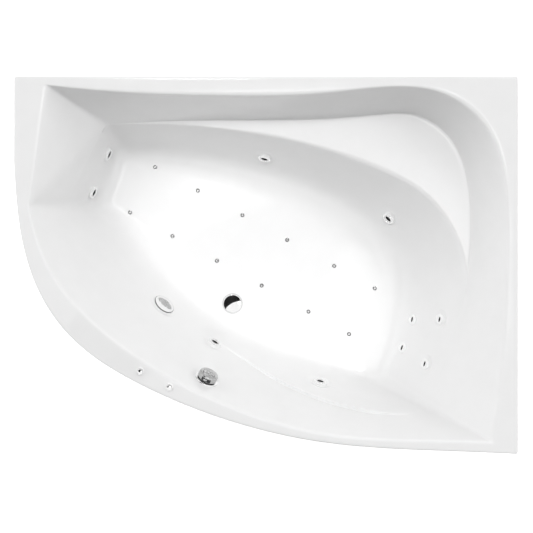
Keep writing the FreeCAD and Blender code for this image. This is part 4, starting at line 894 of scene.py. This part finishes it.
def jet_ring(settings):
    ring = turned("jet_ring_pattern", [
        (19.3, -13.5), (19.3, 2.85), (23.3, 2.85), (23.5, 3.6), (23, 5.2), (21.4, 6.2),
        (18.6, 6.5), (15.8, 6.4), (14.6, 5.8), (15.4, 2), (15.55, -0.5), (14.8, -4.8),
        (12.6, -9.2), (12.6, -13.5), (19.3, -13.5)], settings, sharper=1)
    count, spot, radius, low, high = 9, (0.0249, 0, 0), 0.0022, 0.0032, 0.008
    turns = [Matrix.Rotation(math.tau * number / count, 4, "Z") for number in range(count)]
    cut_away(ring, joined_drills("ring_notches", [
        (turn @ Matrix.Translation(spot), radius, low, high) for turn in turns]))
    coat(ring, "acrylic", "pearl")
    paint_faces(ring, 1, lambda centre, normal: math.hypot(centre.x, centre.y) < 20)
    soften(ring)
    return ring


def jet_nozzle(settings):
    ball_radius = 15.2
    ball = [(math.sqrt(ball_radius ** 2 - height ** 2), height)
            for height in (5, 2, -1, -4, -7, -10)]
    profile = [(0, 6.9), (6, 6.9), (12.4, 6.6)] + ball + [(0, -10)]
    nozzle = turned("jet_nozzle_pattern", profile, settings)
    coat(nozzle, "pearl", "bore")
    # Painted shade: the nozzle's mouth is a shallow pocket painted near black.
    oval_mouth(nozzle, 11.4, 6.8, 2.5, 12)
    soften(nozzle)
    return nozzle


class BATHTUB_OT_side_jets(bpy.types.Operator):
    """Turns the six side jets: the notched face rings and the swivelling nozzles"""

    bl_idname = "bathtub.side_jets"
    bl_label = "Side Jets"

    def execute(self, context):
        settings = context.scene.bathtub_fitting
        ring = jet_ring(settings)
        nozzle = jet_nozzle(settings)
        for number, matrix in zip(JETS, places["side_jet"]):
            settle(placed(ring, f"jet_face_ring_{number}", matrix), f"jet_ring_{number}",
                   "white_plastic", f"jet_ring_{number}")
            settle(placed(nozzle, f"jet_swivel_nozzle_{number}", matrix),
                   f"jet_nozzle_{number}", "grey_plastic", f"jet_nozzle_{number}")
        discard(ring)
        discard(nozzle)
        return {"FINISHED"}


class BATHTUB_OT_back_jets(bpy.types.Operator):
    """Turns the faces of the four small jets in the reclined end"""

    bl_idname = "bathtub.back_jets"
    bl_label = "Back Jets"

    def execute(self, context):
        settings = context.scene.bathtub_fitting
        face = turned("back_jet_pattern", [
            (0, 3.2), (7, 3.3), (9.5, 4.2), (11.8, 5.5), (14.2, 5.3), (16.6, 4.3), (17.5, 2.9),
            (17.3, 2.55), (11.8, 2.5), (11.8, -17.5), (0, -17.5)], settings, sharper=1)
        coat(face, "white", "bore")
        # Painted shade: the jet's slot is a pocket painted near black.
        oval_mouth(face, 9, 3.4, -4, 12)
        soften(face)
        group = placed_group(face, "back_jet_mouths", places["back_jet"])
        settle(group, "tub", "grey_plastic", "back_jet_faces")
        discard(face)
        return {"FINISHED"}


def floor_frame(spot):
    """Frame of a cap on the moulded floor, from four points round its hole."""
    shell = bpy.data.objects["moulded_shell"]
    reach = 0.008
    sides = ((reach, 0), (-reach, 0), (0, reach), (0, -reach))
    east, west, north, south = [
        shell.ray_cast(spot + Vector((x, y, 0.1)), (0, 0, -1))[1].z for x, y in sides]
    level = (east + west + north + south) / 4
    upward = ((west - east) / (2 * reach), (south - north) / (2 * reach), 1)
    return wall_matrix((spot.x, spot.y, level), upward)


class BATHTUB_OT_air_jets(bpy.types.Operator):
    """Turns the caps of the twelve air jets in the floor"""

    bl_idname = "bathtub.air_jets"
    bl_label = "Air Jets"

    def execute(self, context):
        settings = context.scene.bathtub_fitting
        cap = turned("air_cap_pattern", [
            (0, -19.5), (3.8, -19.5), (3.8, -0.1), (8.3, 0.05), (8.5, 0.7), (8, 1.7),
            (7.2, 2.1), (6.4, 1.9), (5.9, 0.9), (4.4, 0.8), (3.9, 1.9), (3.1, 2.5), (1.6, 2.6),
            (1.2, 2.2), (1.2, -1.5), (0, -1.5)], settings, finer=4 / 7, sharper=3)
        coat(cap, "chrome", "seal")
        # Painted shade: the groove round the cap's centre is painted near black.
        paint_faces(cap, 1, lambda centre, normal: 3.9 < math.hypot(centre.x, centre.y) < 6.4
                    and 0 < centre.z < 1.9)
        soften(cap)
        seats = [floor_frame(matrix.translation) for matrix in places["air_jet"]]
        group = placed_group(cap, "air_jet_domes", seats)
        settle(group, "tub", "chrome", "air_jet_caps")
        discard(cap)
        return {"FINISHED"}


class BATHTUB_OT_drain(bpy.types.Operator):
    """Turns the drain's flange and the domed plug that lifts"""

    bl_idname = "bathtub.drain"
    bl_label = "Drain"

    def execute(self, context):
        settings = context.scene.bathtub_fitting
        matrix = places["drain"][0]
        flange = turned("drain_ring", [
            (22, -30), (25, -30), (25, -0.2), (34.6, 0.05), (35, 0.8), (34.4, 1.9),
            (32.6, 2.5), (24, 2.3), (22.6, 1.6), (22, 0.2), (22, -30)],
            settings, finer=2, sharper=2)
        coat(flange, "satin")
        set_in(flange, matrix, "tub", "chrome", "drain_flange")
        top, fall = 10.3, 2.4
        dome = [(0, top)]
        for radius in range(3, 33, 3):
            dome.append((radius, top - fall * (radius / 31) ** 2))
        plug = turned("drain_dome_plug", dome + [
            (32.6, 7.4), (33.3, 6.7), (33.6, 5.9), (33.4, 3.6), (32.6, 2.9), (30, 2.85),
            (9, 2.85), (4, 1), (4, -52), (0, -52)], settings, finer=2)
        coat(plug, "chrome")
        set_in(plug, matrix, "drain_plug", "chrome", "drain_plug", DOME_SMOOTH)
        return {"FINISHED"}


def add_block(obj, centre, size, finish):
    """Joins a rounded block, placed in millimetres, to a piece."""
    clear_selection()
    bpy.ops.mesh.primitive_cube_add(size=1)
    block = bpy.context.object
    set_mode("EDIT")
    bpy.ops.transform.resize(value=[part * MM for part in size])
    bpy.ops.transform.translate(value=[part * MM for part in centre])
    set_mode("OBJECT")
    apply_modifier(block, "BEVEL", width=min(size) * 0.3 * MM, segments=4)
    coat(block, finish)
    apply_modifier(obj, "BOOLEAN", operation="UNION", solver="EXACT", object=block)
    discard(block)


class BATHTUB_OT_overflow(bpy.types.Operator):
    """Turns the overflow's flange and shapes the rotary knob with its grip bar"""

    bl_idname = "bathtub.overflow"
    bl_label = "Overflow"

    def execute(self, context):
        settings = context.scene.bathtub_fitting
        matrix = places["overflow"][0]
        flange = turned("overflow_rosette", [
            (21, -22), (25.8, -22), (25.8, -0.1), (38.6, 0.05), (39, 1), (38.2, 2.8),
            (36, 3.9), (30, 4), (25, 3.2), (21.6, 2.6), (21, 1.6), (21, -22)],
            settings, finer=2, sharper=2)
        coat(flange, "chrome")
        set_in(flange, matrix, "tub", "chrome", "overflow_flange")
        knob = turned("overflow_turn_knob", [
            (0, -29.5), (6, -29.5), (6, 6.5), (20, 7.1), (31.6, 7.3), (32.4, 8.4),
            (32.4, 9.5), (32.2, 20.5), (31.6, 23), (30.2, 25.6), (27.6, 26.9), (22, 26.6),
            (0, 25.8)], settings, finer=2, sharper=1)
        coat(knob, "satin", "bore")
        # Painted shade: a near-black patch on the upper side of the knob's rim stands in for the
        # shaded gap against the wall.
        paint_faces(knob, 1, lambda centre, normal: 9 < centre.z < 20 and abs(centre.x) < 15
                    and centre.y > 0 and math.hypot(centre.x, centre.y) > 25)
        add_block(knob, (0, 0, 28.5), (42, 12.5, 9.5), "satin")
        add_block(knob, (3, 30.5, 14.5), (13, 7, 7), "chrome")
        set_in(knob, matrix, "overflow_knob", "chrome", "overflow_knob")
        return {"FINISHED"}


class BATHTUB_OT_suction(bpy.types.Operator):
    """Turns the domed suction grille and drills its oval field of holes"""

    bl_idname = "bathtub.suction"
    bl_label = "Suction Grille"

    def execute(self, context):
        settings = context.scene.bathtub_fitting
        radius, height, rise = 37.5, 5.2, 6.1
        crown = [(out, height + rise * (1 - (out / radius) ** 2))
                 for out in (36.5, 34, 30, 25, 20, 14, 7, 0)]
        under = [(0, 8), (18, 6.6), (31, 3.4), (35, 2.4)]
        edge = [(37.6, 2.35), (38, 3), (37.9, 4.4)]
        grille = turned("suction_dome", under + edge + crown, settings, sharper=2)
        half_length, half_width, hole, depth = 0.0265, 0.0155, 0.0015, 0.02
        holes = []
        for across in range(-5, 6):
            for up in range(-3, 4):
                x, y = (across + up % 2 / 2) * 0.0052, up * 0.0047
                if math.hypot(x / half_length, y / half_width) < 1:
                    holes.append((Matrix.Translation((x, y, 0)), hole, 0, depth))
        cut_away(grille, joined_drills("grille_holes", holes))
        coat(grille, "grey", "acrylic", "seal")
        paint_faces(grille, 1, lambda centre, normal:
                    math.hypot(centre.x / 29.5, centre.y / 18.5) > 1)
        # Painted shade: the grille's edge band and underside are near black, as the shadow line
        # round its edge.
        paint_faces(grille, 2, lambda centre, normal: centre.z < 5.6 or normal.z < 0.2)
        set_in(grille, places["suction"][0], "tub", "grey_plastic", "suction_grille")
        return {"FINISHED"}


class BATHTUB_OT_buttons(bpy.types.Operator):
    """Turns the two push buttons on the rim and their bezels"""

    bl_idname = "bathtub.buttons"
    bl_label = "Push Buttons"

    def execute(self, context):
        settings = context.scene.bathtub_fitting
        bezel = turned("bezel_pattern", [
            (9.4, -24), (11, -24), (11, -0.1), (12.7, 0.05), (13, 0.7), (12.6, 2.3),
            (11.6, 3.3), (10.4, 3.5), (9.6, 3), (9.4, 2.2), (9.4, -24)], settings, sharper=3)
        coat(bezel, "white")
        soften(bezel)
        cap = turned("button_pattern", [
            (0, 8), (3, 7.9), (6, 7.4), (7.8, 6.6), (8.7, 5.4), (9, 4), (9, -14),
            (0, -14)], settings)
        coat(cap, "chrome")
        soften(cap)
        group = placed_group(bezel, "button_surrounds", places["button"])
        settle(group, "tub", "chrome", "button_bezels")
        for name, matrix in zip(BUTTONS, places["button"]):
            settle(placed(cap, name + "_dome", matrix), name, "chrome", name)
        discard(bezel)
        discard(cap)
        return {"FINISHED"}


class BATHTUB_OT_finishes(bpy.types.Operator):
    """Makes the materials and gives every piece of the frame its finish"""

    bl_idname = "bathtub.finishes"
    bl_label = "Finishes"

    def execute(self, context):
        make_finishes(context.scene.bathtub_shell, context.scene.bathtub_fitting)
        bare = set(frame["nodes"])
        for name, nodes in NODE_FINISHES.items():
            for node in nodes:
                coat(frame["nodes"][node], name)
            bare.difference_update(nodes)
        if bare:
            raise RuntimeError(f"no finish is set for {sorted(bare)}")
        return {"FINISHED"}


def linked(name, data):
    """A new object in the scene."""
    obj = bpy.data.objects.new(name, data)
    bpy.context.scene.collection.objects.link(obj)
    return obj


def seen_share(tree):
    """Node output that is 1 for rays from the camera, from gloss and through glass."""
    path = add_node(tree, "ShaderNodeLightPath").outputs
    seen = math_node(tree, "MAXIMUM", path["Is Camera Ray"], path["Is Glossy Ray"])
    return math_node(tree, "MAXIMUM", seen, path["Is Transmission Ray"])


def add_ground(settings):
    clear_selection()
    bpy.ops.mesh.primitive_plane_add(size=GROUND_SIZE)
    ground = bpy.context.object
    ground.name = ground.data.name = "pale_ground"
    material = bpy.data.materials.new("pale_ground")
    material.use_nodes = True
    tree = material.node_tree
    tree.nodes.remove(tree.nodes["Principled BSDF"])
    matt = add_node(tree, "ShaderNodeBsdfDiffuse", Color=(0.9, 0.9, 0.9, 1))
    strength = math_node(tree, "MULTIPLY", seen_share(tree), settings.ground_glow)
    glow = add_node(tree, "ShaderNodeEmission", Strength=strength)
    both = add_node(tree, "ShaderNodeAddShader")
    feed(tree, both.inputs[0], matt.outputs[0])
    feed(tree, both.inputs[1], glow.outputs[0])
    feed_node(tree, tree.nodes["Material Output"], Surface=both.outputs[0])
    ground.data.materials.append(material)


def add_sky(scene, settings):
    """A sky that the pieces show as white and that lights them from the wall and the ends."""
    world = bpy.data.worlds.new("even_sky")
    scene.world = world
    world.use_nodes = True
    tree = world.node_tree
    place = add_node(tree, "ShaderNodeTexCoord")
    parts = add_node(tree, "ShaderNodeSeparateXYZ", Vector=place.outputs["Generated"])
    x, y = parts.outputs["X"], parts.outputs["Y"]
    square = math_node(tree, "MULTIPLY", x, x)
    ends = math_node(tree, "MULTIPLY_ADD", square, settings.sky_flanks, settings.sky)
    light = math_node(tree, "MULTIPLY_ADD", y, settings.sky_slope, ends)
    light = math_node(tree, "MAXIMUM", light, LEAST_SKY)
    seen = add_node(tree, "ShaderNodeMix", Factor=seen_share(tree), A=light, B=1.0)
    feed_node(tree, tree.nodes["Background"], Color=(1, 1, 1, 1), Strength=seen.outputs[0])


def add_sun(name, towards, strength, spread):
    lamp = linked(name, bpy.data.lights.new(name, "SUN"))
    lamp.data.energy = strength
    lamp.data.angle = spread
    lamp.location = Vector(towards) * 4
    lamp.rotation_euler = Vector(towards).to_track_quat("Z", "Y").to_euler()
    return lamp


def add_well_lamp(power):
    """A soft oval spot that brightens the floor of the basin."""
    lamp = linked("well_lamp", bpy.data.lights.new("well_lamp", "SPOT"))
    lamp.data.energy = power
    lamp.data.spot_size = WELL_ANGLE
    lamp.data.spot_blend = WELL_BLEND
    lamp.data.shadow_soft_size = WELL_SOFT
    lamp.location = WELL_SPOT
    lamp.rotation_euler = (0, 0, WELL_TURN)
    lamp.scale = (1, WELL_SQUASH, 1)
    lamp.visible_glossy = False


def add_card(name, finish):
    """A card overhead, bowed round a centre, that only the gloss of the pieces shows."""
    centre, reach, width, first, last = CARDS[name]
    clear_selection()
    bpy.ops.mesh.primitive_grid_add(x_subdivisions=48, y_subdivisions=1, size=2)
    card = bpy.context.object
    card.name = card.data.name = name
    for vertex in card.data.vertices:
        turn = math.radians(first + (last - first) * (vertex.co.x + 1) / 2)
        radius = reach + width * (vertex.co.y + 1) / 2
        vertex.co = Vector(centre) + radius * Vector((math.cos(turn), math.sin(turn), 0))
    card.data.materials.append(finish)
    for ray in ("diffuse", "shadow", "camera", "transmission"):
        setattr(card, f"visible_{ray}", False)


def add_cards():
    """A dark card for the gloss of the front wall and a bright one for that of the ledge."""
    dark = noise_finish("dark_reflector", greys(0.004, 0.006), (0.9, 1.0), 3.0)
    add_card("dark_reflector", dark)
    bright = noise_finish("ledge_softbox", greys(0.8, 0.82), (0.9, 1.0), 3.0)
    feed_node(bright.node_tree, bright.node_tree.nodes["Principled BSDF"],
              Emission_Color=(1, 1, 1, 1), Emission_Strength=SOFTBOX_GLOW)
    add_card("ledge_softbox", bright)


class BATHTUB_OT_stage(bpy.types.Operator):
    """Sets the pale ground, the sky, the lamps, the two cards and the camera overhead"""

    bl_idname = "bathtub.stage"
    bl_label = "Stage"

    def execute(self, context):
        settings = context.scene.bathtub_stage
        context.scene.view_settings.view_transform = "Standard"
        add_ground(settings)
        add_sky(context.scene, settings)
        key = add_sun("key_lamp", KEY_SIDE, settings.key_strength, settings.key_spread)
        key.visible_glossy = False
        add_sun("glint_lamp", GLINT_SIDE, settings.glint_strength, GLINT_SPREAD)
        add_well_lamp(settings.well_power)
        add_cards()
        camera = linked("overhead_camera", bpy.data.cameras.new("overhead_camera"))
        camera.data.sensor_width = 36
        camera.data.lens = settings.lens
        camera.location = (*CAMERA_SPOT, settings.camera_height)
        context.scene.camera = camera
        return {"FINISHED"}


class BATHTUB_PT_pieces(bpy.types.Panel):
    """Lists the settings and the pieces of the bathtub"""

    bl_label = "Jetted Bathtub"
    bl_idname = "BATHTUB_PT_pieces"
    bl_space_type = "VIEW_3D"
    bl_region_type = "UI"
    bl_category = "Bathtub"

    def draw(self, context):
        for settings in (context.scene.bathtub_shell, context.scene.bathtub_fitting,
                         context.scene.bathtub_stage):
            box = self.layout.box()
            for name in settings.__annotations__:
                box.prop(settings, name)
        for operator in OPERATORS:
            self.layout.operator(operator.bl_idname)


OPERATORS = [BATHTUB_OT_finishes, BATHTUB_OT_shell, BATHTUB_OT_side_jets, BATHTUB_OT_back_jets,
             BATHTUB_OT_air_jets, BATHTUB_OT_drain, BATHTUB_OT_overflow, BATHTUB_OT_suction,
             BATHTUB_OT_buttons, BATHTUB_OT_stage]
CLASSES = [ShellSettings, FittingSettings, StageSettings, *OPERATORS, BATHTUB_PT_pieces]


def register():
    for item in CLASSES:
        bpy.utils.register_class(item)
    bpy.types.Scene.bathtub_shell = PointerProperty(type=ShellSettings)
    bpy.types.Scene.bathtub_fitting = PointerProperty(type=FittingSettings)
    bpy.types.Scene.bathtub_stage = PointerProperty(type=StageSettings)


def unregister():
    del bpy.types.Scene.bathtub_stage
    del bpy.types.Scene.bathtub_fitting
    del bpy.types.Scene.bathtub_shell
    for item in reversed(CLASSES):
        bpy.utils.unregister_class(item)


def main():
    register()
    bpy.ops.bathtub.finishes()
    bpy.ops.bathtub.shell()
    bpy.ops.bathtub.side_jets()
    bpy.ops.bathtub.back_jets()
    bpy.ops.bathtub.air_jets()
    bpy.ops.bathtub.drain()
    bpy.ops.bathtub.overflow()
    bpy.ops.bathtub.suction()
    bpy.ops.bathtub.buttons()
    bpy.ops.bathtub.stage()
    clear_selection()


if __name__ == "__main__":
    main()
